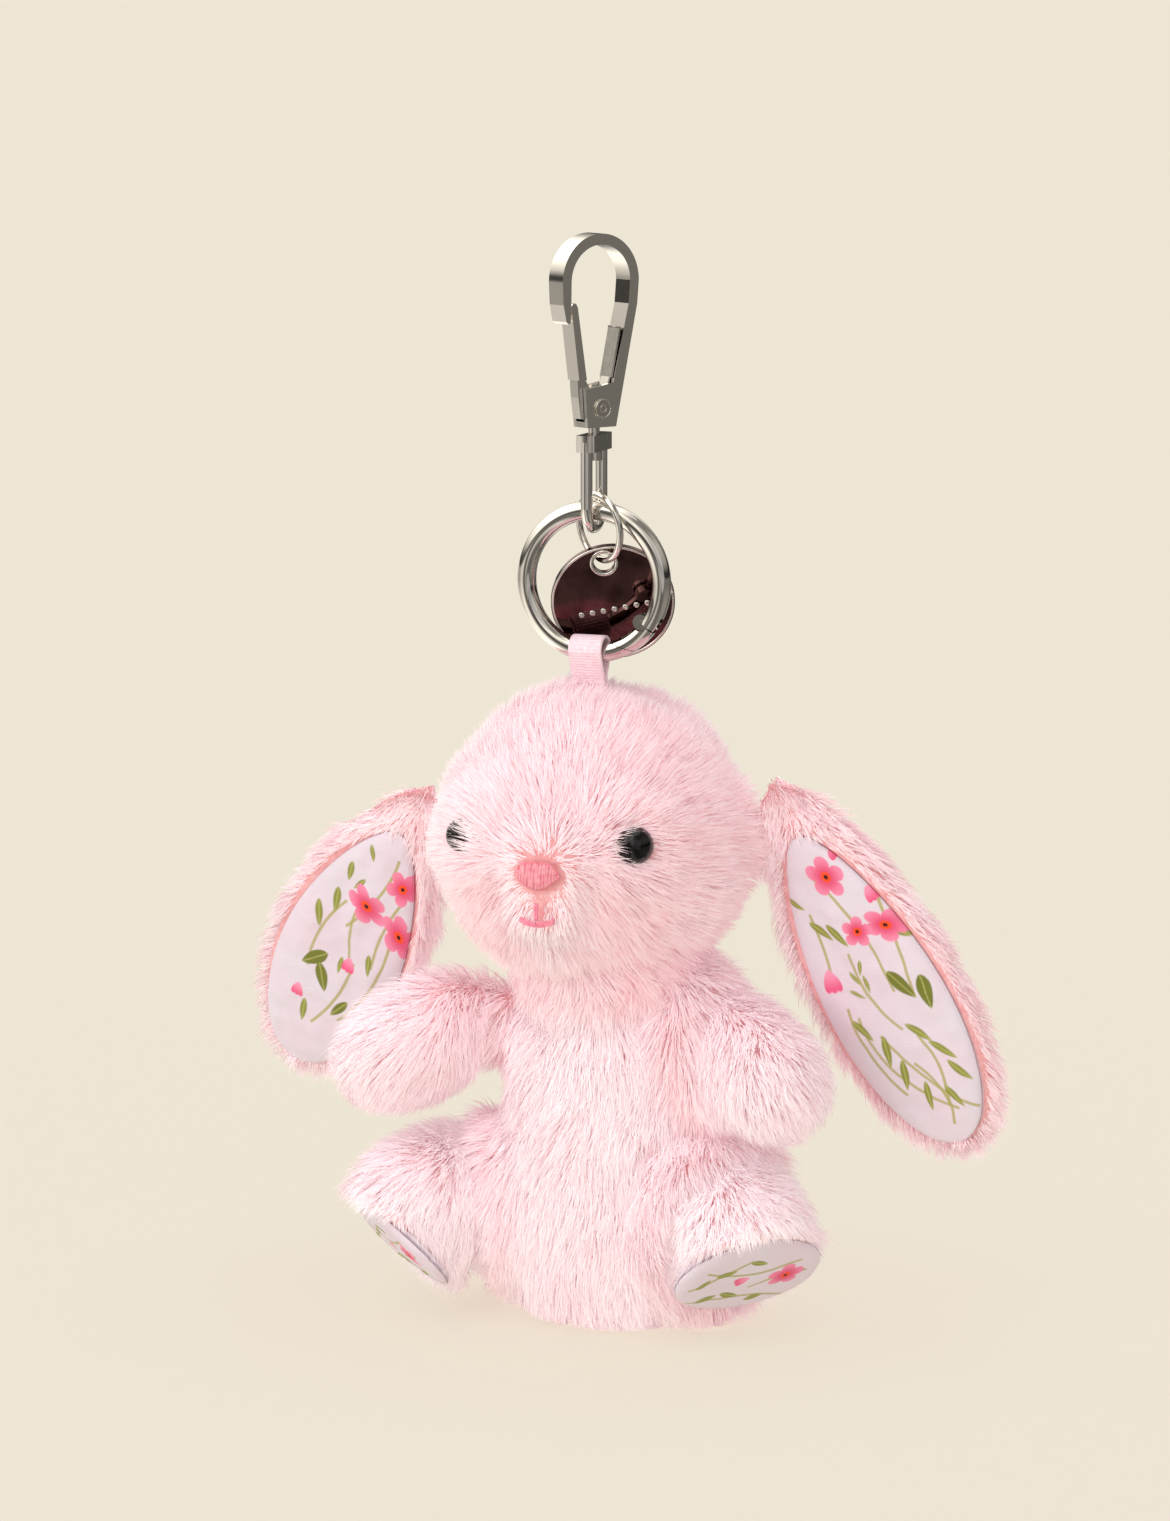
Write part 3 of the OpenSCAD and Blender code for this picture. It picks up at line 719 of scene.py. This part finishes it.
def print_of(kind, xy):
    """The floral print of one panel at points given from its top or hip end, in millimetres."""
    base = linear(226, 217, 227)
    blush = linear(232, 206, 219)
    speck = 0.5 + 0.5 * noise(np.column_stack([xy, np.zeros(len(xy))]), 6.0, 71)
    colours = base[None] * (1 - 0.5 * speck[:, None]) + blush[None] * 0.5 * speck[:, None]
    if kind == "ear_right":
        for s in (((7, 0), (16, 4), (28, 3)), ((12, 8), (22, 8), (30, 6)),
                  ((23, -6), (19, -5), (12, -4)), ((20, -1), (28, -3), (34, 1)),
                  ((30, -5), (40, -7), (49, 3)), ((34, -3), (42, -1), (50, 6)),
                  ((36, 3), (42, 5), (48, 2)), ((28, -6), (36, -8), (44, -4)),
                  ((40, 0), (46, 4), (51, 1))):
            paint_stem(colours, xy, *s)
        for leaf in ((15, -3.6, 30, 4.8, 1.3), (16.5, -1.2, 25, 5.0, 1.4), (27.5, 4.8, 25, 6.0, 2.5),
                     (30, 8.0, -10, 5.8, 2.4), (35.5, 3.4, 35, 5.0, 1.2), (36.5, -3.4, -15, 5.4, 1.3),
                     (39.5, 5.8, 35, 5.2, 1.2), (43.5, 6.6, 25, 5.0, 1.2), (41, -2.6, -20, 5.2, 1.3),
                     (45.5, -0.6, -15, 5.0, 1.2), (47, 3.6, 15, 4.6, 1.1), (32, -5.4, 20, 4.6, 1.2),
                     (24, -2.2, 20, 3.0, 0.7), (25.4, -0.8, -10, 3.2, 0.7), (26.4, -3.2, 45, 3.0, 0.7),
                     (22.6, -0.4, -30, 2.8, 0.7), (20, 9, 40, 3.4, 1.1), (9.5, -5.5, 40, 3.6, 1.0)):
            paint_leaf(colours, xy, leaf[:2], *leaf[2:], dark=leaf[4] > WIDE_LEAF)
        paint_flower(colours, xy, (7.4, 2.0), 20, 3.7, 0.78)
        paint_flower(colours, xy, (18, 7.2), 60, 4.0, 0.66)
        paint_flower(colours, xy, (17.2, 2.3), 10, 2.6, 0.95)
        paint_bud(colours, xy, (4.2, 4.9), 200, 1.3)
        paint_bud(colours, xy, (12.6, 7.4), 190, 1.4)
        paint_bud(colours, xy, (22.9, -6.3), 170, 2.0)
    elif kind == "ear_left":
        for s in (((4, 2), (12, 3), (22, -1)), ((14, 0), (20, -2), (30, 3)), ((9, 6), (18, 4), (26, 6)),
                  ((18, -3), (26, -6), (34, -4)), ((28, 3), (36, 4), (44, 1)), ((20, 7), (30, 9), (40, 5))):
            paint_stem(colours, xy, *s)
        for leaf in ((19, -4.6, 15, 5.0, 1.4), (23.5, -6.2, 25, 5.2, 1.5), (32, -3.4, -35, 5.8, 2.5),
                     (34.5, -0.8, 35, 5.4, 2.3), (12, -4.6, 10, 4.0, 1.2), (26, 5.4, 20, 4.2, 1.2),
                     (38, 4.2, -20, 4.8, 1.6), (43, -1.2, 15, 4.6, 1.3), (6, -2.6, 30, 3.2, 1.0),
                     (13, -2.2, -20, 3.6, 0.9), (30, 1.0, 10, 3.4, 0.9)):
            paint_leaf(colours, xy, leaf[:2], *leaf[2:], dark=leaf[4] > WIDE_LEAF)
        paint_flower(colours, xy, (15.7, 0.6), 70, 4.2, 0.78)
        paint_flower(colours, xy, (8.4, 4.6), 15, 3.4, 0.85)
        paint_flower(colours, xy, (17.4, 7.6), 40, 4.6, 0.62)
        paint_bud(colours, xy, (28.8, 2.3), 190, 1.5)
        paint_bud(colours, xy, (3.6, 6.8), 160, 1.6)
        paint_bud(colours, xy, (40, -3.6), 190, 1.4)
    else:
        for s in (((3, -5), (12, -3), (21, -6)), ((4, 3), (12, 0), (20, 4)), ((13, -2), (17, 1), (22, 1)),
                  ((2, -1), (7, 2), (11, 5))):
            paint_stem(colours, xy, *s)
        for leaf in ((6, -4.0, 25, 3.8, 1.3), (10, -3.6, -20, 4.0, 1.3), (7.5, 2.4, 20, 3.6, 1.2),
                     (12.5, 4.4, -15, 3.4, 1.2), (15, -5.2, 15, 3.4, 1.2), (4, 0.4, 50, 3.0, 1.0)):
            paint_leaf(colours, xy, leaf[:2], *leaf[2:])
        paint_flower(colours, xy, (18.5, 0.4), 20, 3.2, 0.8)
        paint_bud(colours, xy, (10.8, 0.2), 30, 1.3)
    return np.clip(colours, 0, 1)


def panel(name, node, kind, body, under_it, front, swell, crease):
    """A cotton panel on the CAD panel's outline and front: swell and crease are heights in millimetres."""
    points = node_points(node)
    axes = main_axes(points)
    down = axes[:, 0] if axes[2, 0] < 0 else -axes[:, 0]
    if kind == "sole":
        down = axes[:, 0] if axes[0, 0] > 0 else -axes[:, 0]
    across = np.cross(front, down)
    across = across if across[0] > 0 or (kind == "sole" and across[2] > 0) else -across
    flat = np.stack([points @ down, points @ across], 1)
    top, height = flat[:, 0].min(), (points @ front).max()
    reach = flat[:, 0].max() - top
    middle_w = (flat[:, 1].min() + flat[:, 1].max()) / 2
    rows, columns = ((420, 140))
    s = top + reach * (0.5 - 0.5 * np.cos(np.linspace(0, np.pi, rows))) * 0.998 + 0.001 * reach
    edges = []
    for sign in (-1, 1):
        part = flat[(flat[:, 1] - middle_w) * sign >= -0.01]
        part = part[np.argsort(part[:, 0])]
        # between the outline's points the square of the half width is even, which rounds the ends
        square = np.interp(s, part[:, 0], (part[:, 1] - middle_w) ** 2)
        edges.append(middle_w + sign * np.sqrt(square))
    t = np.linspace(0, 1, columns)
    w = edges[0][:, None] * (1 - t) + edges[1][:, None] * t
    ss = np.repeat(s[:, None], columns, 1)
    local = np.stack([(ss - top).ravel(), (w - middle_w).ravel()], 1)
    sides = 1 - (2 * np.abs(t - 0.5)) ** 5
    ends = 1 - (2 * np.abs((s - top) / reach - 0.5)) ** 10
    round_off = sides[None] * ends[:, None]
    flat3 = np.column_stack([local, np.zeros(len(local))])
    rise = swell * np.sqrt(np.maximum(round_off, 0)).ravel() - 0.35
    folds = noise(flat3 * np.array([0.4, 1, 1]), 3.6, 81) + 0.5 * noise(flat3, 2.2, 82)
    rise += crease * folds * round_off.ravel()
    rise -= 0.5 * (1 - round_off.ravel())
    verts = (ss.ravel()[:, None] * down + w.ravel()[:, None] * across + (height + rise)[:, None] * front)
    index = np.arange(rows * columns).reshape(rows, columns)
    quads = np.stack([index[:-1, :-1], index[:-1, 1:], index[1:, 1:], index[1:, :-1]], -1).reshape(-1, 4)
    # turned-under edge
    rim = rim_of(index)
    under = verts[rim] - front * TURNED_UNDER
    verts = np.concatenate([verts, under])
    k = len(index.ravel()) + np.arange(len(rim))
    skirt = np.stack([rim, np.roll(rim, -1), np.roll(k, -1), k], -1)
    if np.cross(down, across) @ front > 0:
        quads = quads[:, ::-1]
        skirt = skirt[:, ::-1]
    o = make_mesh(name, verts, np.concatenate([quads, skirt]), [PRINT])
    colours = print_of(kind, local)
    colours = np.concatenate([colours, colours[rim]])
    layer = o.data.color_attributes.new("print", "FLOAT_COLOR", "POINT")
    with_alpha = np.column_stack([colours, np.ones(len(colours))])
    layer.data.foreach_set("color", with_alpha.ravel().astype(np.float32))
    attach(o, body)
    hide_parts(node)


for part, front in EAR_FACE.items():
    panel(f"{part}_print", PANEL_OF[part], part, part, f"{part}_skin", front, 0.9, 0.42)
for part, front in SOLE.items():
    panel(f"sole_{part[4:]}_print", PANEL_OF[part], "sole", "rabbit", f"{part}_skin", front, 0.7, 0.2)


# ---------- embroidery ----------

def nose_height(x, half):
    """Lower and upper end of the nose's stitch at x."""
    u = np.clip(abs(x) / half, 0, 1)
    return -1.9 * (1 - u ** 1.6) - 0.1, 1.9 * (1 - u ** 5) + 0.1


def nose_dome(x, z, half, rise):
    """How far the stitches stand out at a spot of the nose, at most rise."""
    return rise * np.sqrt(np.maximum(0.02, 1 - (x / half) ** 2 * 0.8 - (z / 2.9) ** 2 * 0.75))


low, high = box("nose_patch")
half = (high[0] - low[0]) / 2
threads = []
for x in np.linspace(-half + 0.1, half - 0.1, 19):
    bottom, top = nose_height(x, half)
    t = np.linspace(0, 1, 9)
    z = bottom + (top - bottom) * t
    y = high[1] - 0.3 - nose_dome(x, z + 0.1, half, 1.5)
    x_wave = x + 0.1 * np.sin(5 * x + 3 * t)
    threads.append(tube(np.column_stack([NOSE_AT[0] + x_wave, y, NOSE_AT[2] + z]), 0.27, 6))
verts, faces = join_parts(threads)
nose = make_mesh("nose_threads", verts, faces, [NOSE])
around = []
for a in np.linspace(0, 2 * np.pi, 60):
    x = half * 1.02 * math.cos(a)
    bottom, top = nose_height(x, half)
    z = (top if math.sin(a) > 0 else bottom) * abs(math.sin(a)) ** 0.35
    around.append([NOSE_AT[0] + x, high[1] - 0.3 - nose_dome(x, z, half, 1.4), NOSE_AT[2] + z])
verts, faces = join_parts([tube(around, 0.3, 6)])
edge = make_mesh("nose_edge_thread", verts, faces, [NOSE_EDGE])
for o in (nose, edge):
    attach(o, "rabbit")
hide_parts("nose_patch")

low, high = box("mouth_stitch")
threads = []
x0, z0 = (low[0] + high[0]) / 2, low[2]
for k in range(2):
    x = x0 + 0.3 * (k - 0.5)
    z = np.linspace(z0 + 0.9, high[2] - 0.2, 7)
    threads.append(tube(np.column_stack([np.full(7, x), np.full(7, low[1] - 0.3), z]), 0.22, 6))
for side in (-1, 1):
    for k in range(3):
        t = np.linspace(0, 1, 9)
        x = x0 + side * 2.8 * t
        z = z0 + 0.3 + 0.27 * (k - 1) + 0.55 * t ** 2
        threads.append(tube(np.column_stack([x, low[1] - 0.35 + 0.6 * t ** 2, z]), 0.22, 6))
verts, faces = join_parts(threads)
mouth = make_mesh("mouth_threads", verts, faces, [MOUTH])
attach(mouth, "rabbit")
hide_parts("mouth_stitch")

# ---------- ribbon: one strip of grosgrain, folded over the ring ----------

# half the distance between the two tails, half the ribbon's thickness, and its ribs' height and pitch
TAIL_GAP = 0.3
HALF_RIBBON = 0.2
RIB_HEIGHT, RIB_PITCH = 0.055, 0.5
low, high = box("hang_ribbon")
loop_r = (high[1] - low[1]) / 2 - 0.3
loop_z = high[2] - 0.3 - loop_r
neck = loop_z - 4.3
mid = middle("hang_ribbon")
side_z = np.linspace(low[2] + 0.2, neck, 40)
t = np.linspace(0, 1, 60)
leg_y = TAIL_GAP + (loop_r - TAIL_GAP) * t ** 0.9
leg_z = neck + (loop_z - neck) * t
arc = np.linspace(0, np.pi, 60)[1:-1]
path_y = np.concatenate([np.full(40, TAIL_GAP), leg_y[1:], loop_r * np.cos(arc),
                         -leg_y[::-1][:-1], np.full(40, -TAIL_GAP)])
path_z = np.concatenate([side_z, leg_z[1:], loop_z + loop_r * np.sin(arc),
                         leg_z[::-1][:-1], side_z[::-1]])
step = np.hypot(np.diff(path_y), np.diff(path_z))
run = np.concatenate([[0], np.cumsum(step)])
fine = np.arange(0, run[-1], 0.1)
py, pz = np.interp(fine, run, path_y), np.interp(fine, run, path_z)
ny, nz = -np.gradient(pz), np.gradient(py)
scale = np.hypot(ny, nz)
ny, nz = -ny / scale, -nz / scale
across = np.linspace(-1, 1, 15)
rib = RIB_HEIGHT * np.sin(2 * np.pi * fine / RIB_PITCH)
outer = []
for sign in (1, -1):
    thick = sign * (HALF_RIBBON + rib[:, None] * (1 - np.abs(across) ** 12)[None])
    x = mid[0] + across[None] * (high[0] - low[0]) / 2 + 0 * thick
    outer.append(np.stack([x, py[:, None] + ny[:, None] * thick, pz[:, None] + nz[:, None] * thick], -1))
m, k = len(fine), len(across)
verts = np.concatenate([outer[0].reshape(-1, 3), outer[1].reshape(-1, 3)])
index = np.arange(m * k).reshape(m, k)
front_quads = np.stack([index[:-1, :-1], index[1:, :-1], index[1:, 1:], index[:-1, 1:]], -1).reshape(-1, 4)
back_quads = front_quads[:, ::-1] + m * k
rim = rim_of(index)
edge_quads = np.stack([rim, np.roll(rim, -1), np.roll(rim, -1) + m * k, rim + m * k], -1)
ribbon = make_mesh("ribbon_strip", verts, np.concatenate([front_quads, back_quads, edge_quads]), [RIBBON])
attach(ribbon, "rabbit")
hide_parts("hang_ribbon")

# ---------- metal ----------

for names, material in (
    (("hook_frame", "hook_gate", "swivel_eye", "ring_frame", "ring_gate", "jump_ring"), NICKEL),
    (("gate_pin", "swivel_rivet", "ring_gate_pin"), SATIN),
    (("gate_spring", "ring_gate_spring"), SPRING),
    (("tag_disc",), MIRROR),
    (("eye_left", "eye_right"), BEAD),
    (("eye_washer_left", "eye_washer_right"), WASHER),
):
    for n in names:
        NODES[n].data.materials.clear()
        NODES[n].data.materials.append(material)

# tag: raised rim, eyelet and a row of small dots
TAG_RIM = 0.5
DOTS, DOT_PITCH, DOT_RADIUS, DOT_HEIGHT = 7, 1.75, 0.5, 0.3
points = node_points("tag_disc")
axes = main_axes(points)
normal = axes[:, 2] if axes[1, 2] < 0 else -axes[:, 2]
low_l, high_l = (points @ axes).min(axis=0), (points @ axes).max(axis=0)
centre = axes @ ((low_l + high_l) / 2)
radius = (high_l[0] - low_l[0]) / 2
thick = (high_l[2] - low_l[2]) / 2
from_centre = points - centre
inner = from_centre[np.linalg.norm(from_centre, axis=1) < radius - TAG_RIM]
hole = centre + inner.mean(axis=0) - (inner.mean(axis=0) @ normal) * normal
up = unit(hole - centre)
right = np.cross(up, normal)
right = right if right[0] > 0 else -right


def ring_tube(at, r, wire):
    a = np.linspace(0, 2 * np.pi, 97)
    path = at + r * (np.cos(a)[:, None] * right + np.sin(a)[:, None] * up)
    return tube(path, wire, 10)


trim = [ring_tube(centre + s * normal * (thick - 0.05), radius - 0.28, 0.22) for s in (-1, 1)]
trim += [ring_tube(hole + s * normal * thick, 1.95, 0.3) for s in (-1, 1)]
for k in range(DOTS):
    spot = centre - 1.2 * up + (k - 3) * DOT_PITCH * right + normal * (thick - 0.05)
    t = np.linspace(0, 0.98, 6)
    trim.append(tube(spot + DOT_HEIGHT * t[:, None] * normal, DOT_RADIUS * np.sqrt(1 - t ** 2), 14))
verts, faces = join_parts(trim)
o = make_mesh("tag_trim", verts, faces, [NICKEL])
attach(o, "tag")

# hook: fine ribs across the spring's leg, and two beads round each end of the gate's pin
RIBBED_LENGTH = 7.4
n = np.array(next(j for j in frame["joints"] if j["name"] == "hook_gate_open")["axis"], float)
n = n if n[0] > 0 else -n
u = np.array([-n[1], n[0], 0.0])
leg = node_points("gate_spring")
leg = leg[leg[:, 2] > leg[:, 2].max() - RIBBED_LENGTH]
span = (leg @ n).max() - (leg @ n).min()
leg_top, leg_end = leg[:, 2].max(), leg[:, 2].min()
face_top = (leg[leg[:, 2] > leg_top - 0.2] @ u).min()
face_end = (leg[leg[:, 2] < leg_end + 0.2] @ u).min()
bars = []
for t in np.linspace(0.02, 0.98, 21):
    near_t = leg_top + t * (leg_end - leg_top)
    shift = face_top * (1 - t) + face_end * t
    at = np.array([0, 0, near_t]) + u * (shift - 0.02)
    bars.append(tube(at + np.array([[-0.5], [0.5]]) * (span - 0.2) * n, 0.15, 8))
verts, faces = join_parts(bars)
o = make_mesh("spring_ribs", verts, faces, [SPRING])
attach(o, "hook")

pin = middle("gate_pin")
reach = np.abs((node_points("gate_pin") - pin) @ n).max()
circle = np.linspace(0, 2 * np.pi, 49)[:, None]
beads = []
for side in (-1, 1):
    for r, wire in ((1.4, 0.14), (0.55, 0.12)):
        around = np.cos(circle) * u - np.sin(circle) * DOWN
        path = pin + side * (reach - 0.04) * n + r * around
        beads.append(tube(path, wire, 8))
verts, faces = join_parts(beads)
o = make_mesh("gate_pin_beads", verts, faces, [SATIN])
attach(o, "hook")

# ---------- camera, light and backdrop ----------

camera = bpy.data.objects.new("camera", bpy.data.cameras.new("camera"))
bpy.context.scene.collection.objects.link(camera)
bpy.context.scene.camera = camera
camera.data.sensor_fit = "VERTICAL"
camera.data.sensor_height = 24
camera.data.lens = 85
camera.data.clip_start = 0.01
azimuth, elevation, far = math.radians(20), math.radians(9), 0.843
aim = Vector((-0.0013, -0.0005, (SEAT + 88.4) * MM))
out = Vector((math.sin(azimuth) * math.cos(elevation), -math.cos(azimuth) * math.cos(elevation),
              math.sin(elevation)))
camera.location = aim + far * out
camera.rotation_euler = (-out).to_track_quat("-Z", "Y").to_euler()

scene = bpy.context.scene
scene.view_settings.view_transform = "Standard"
scene.view_settings.look = "None"

CREAM = linear(238, 230, 213)
SOFT_LEVEL, SOFT_COLOUR = 0.74, (1.0, 0.97, 0.95)


def area_light(name, place, size, power, colour):
    data = bpy.data.lights.new(name, "AREA")
    data.shape, data.size, data.energy, data.color = "DISK", size, power, colour
    o = bpy.data.objects.new(name, data)
    o.location = place
    o.rotation_euler = (aim - Vector(place)).to_track_quat("-Z", "Y").to_euler()
    scene.collection.objects.link(o)
    return o


KEY = area_light("key", (-0.6, -0.8, 1.0), 1.5, 6.0, (1.0, 0.985, 0.98))
FILL = area_light("fill", (0.7, -1.1, 0.3), 1.4, 1.8, (1.0, 0.97, 0.97))
LOW = area_light("low", (-0.35, -0.8, -0.13), 0.7, 3.4, (1.0, 0.98, 0.98))
TOP = area_light("top", (0.0, 0.1, 1.2), 1.2, 1.8, (1.0, 0.98, 0.98))

world = bpy.data.worlds.new("studio")
scene.world = world
world.use_nodes = True
wt = world.node_tree
wt.nodes.clear()
place = add_node(wt, "ShaderNodeTexCoord")
split = add_node(wt, "ShaderNodeSeparateXYZ")
wt.links.new(place.outputs["Generated"], split.inputs["Vector"])


def band(source, stops):
    ramp = add_node(wt, "ShaderNodeValToRGB")
    shift = add_node(wt, "ShaderNodeMapRange")
    shift.inputs["From Min"].default_value = -1
    wt.links.new(source, shift.inputs["Value"])
    wt.links.new(shift.outputs["Result"], ramp.inputs["Fac"])
    while len(ramp.color_ramp.elements) < len(stops):
        ramp.color_ramp.elements.new(0.5)
    for e, (at, value) in zip(ramp.color_ramp.elements, stops):
        e.position = at
        e.color = (value, value * 0.97, value * 0.92, 1)
    return ramp


# the studio that metal reflects, as brightness from left to right and from below to above
sideways = band(split.outputs["X"], [
    (0.0, 0.45), (0.09, 0.9), (0.18, 1.0), (0.30, 0.25), (0.40, 0.10),
    (0.52, 0.55), (0.66, 0.12), (0.80, 0.10), (0.93, 0.22), (1.0, 0.22)])
upward = band(split.outputs["Z"], [
    (0.0, 0.75), (0.38, 0.45), (0.44, 0.3), (0.488, 0.34), (0.502, 0.04),
    (0.545, 0.06), (0.62, 0.6), (0.78, 1.0), (1.0, 0.85)])
mixed = add_node(wt, "ShaderNodeMix", data_type="RGBA", blend_type="MULTIPLY")
mixed.inputs["Factor"].default_value = 1
wt.links.new(sideways.outputs["Color"], mixed.inputs["A"])
wt.links.new(upward.outputs["Color"], mixed.inputs["B"])
rays = add_node(wt, "ShaderNodeLightPath")
sky = add_node(wt, "ShaderNodeBackground", Strength=1.0)
sky.inputs["Color"].default_value = (*CREAM, 1)
soft = add_node(wt, "ShaderNodeBackground", Strength=SOFT_LEVEL)
soft.inputs["Color"].default_value = (*SOFT_COLOUR, 1)
shine = add_node(wt, "ShaderNodeBackground", Strength=2.6)
wt.links.new(mixed.outputs["Result"], shine.inputs["Color"])
first = add_node(wt, "ShaderNodeMixShader")
second = add_node(wt, "ShaderNodeMixShader")
wt.links.new(rays.outputs["Is Glossy Ray"], first.inputs[0])
wt.links.new(soft.outputs[0], first.inputs[1])
wt.links.new(shine.outputs[0], first.inputs[2])
wt.links.new(rays.outputs["Is Camera Ray"], second.inputs[0])
wt.links.new(first.outputs[0], second.inputs[1])
wt.links.new(sky.outputs[0], second.inputs[2])
final = add_node(wt, "ShaderNodeOutputWorld")
wt.links.new(second.outputs[0], final.inputs["Surface"])

floor_mesh = bpy.data.meshes.new("floor")
# metres from the middle to the floor's sides, and metres that it lies under the seat
FLOOR_REACH = 4
FLOOR_GAP = 0.0002
# how dark the floor's matte base is against the backdrop
FLOOR_MATTE = 0.6
corners = [(FLOOR_REACH * x, FLOOR_REACH * y, 0) for x, y in ((-1, -1), (1, -1), (1, 1), (-1, 1))]
floor_mesh.from_pydata(corners, [], [(0, 1, 2, 3)])
floor = bpy.data.objects.new("floor", floor_mesh)
floor.location.z = SEAT * MM - FLOOR_GAP
scene.collection.objects.link(floor)
floor.visible_glossy = False
# part of the floor's brightness is its own, so that in the open it is exactly as bright as the backdrop
FLOOR, _, floor_shader = new_material("floor_cream")
floor_base = FLOOR_MATTE * CREAM
floor_glow = CREAM - floor_base * SOFT_LEVEL * np.array(SOFT_COLOUR)
set_inputs(floor_shader, Base_Color=(*floor_base, 1), Roughness=1.0, Specular_IOR_Level=0.0,
           Emission_Color=(*floor_glow, 1), Emission_Strength=1.0)
floor_mesh.materials.append(FLOOR)
# the four lamps leave the floor alone, so that only a faint soft shadow lies round the base
off_floor = bpy.data.collections.new("not_lit_by_lamps")
off_floor.objects.link(floor)
off_floor.collection_objects[0].light_linking.link_state = "EXCLUDE"
for light in (KEY, FILL, LOW, TOP):
    light.light_linking.receiver_collection = off_floor
LOW.visible_glossy = False
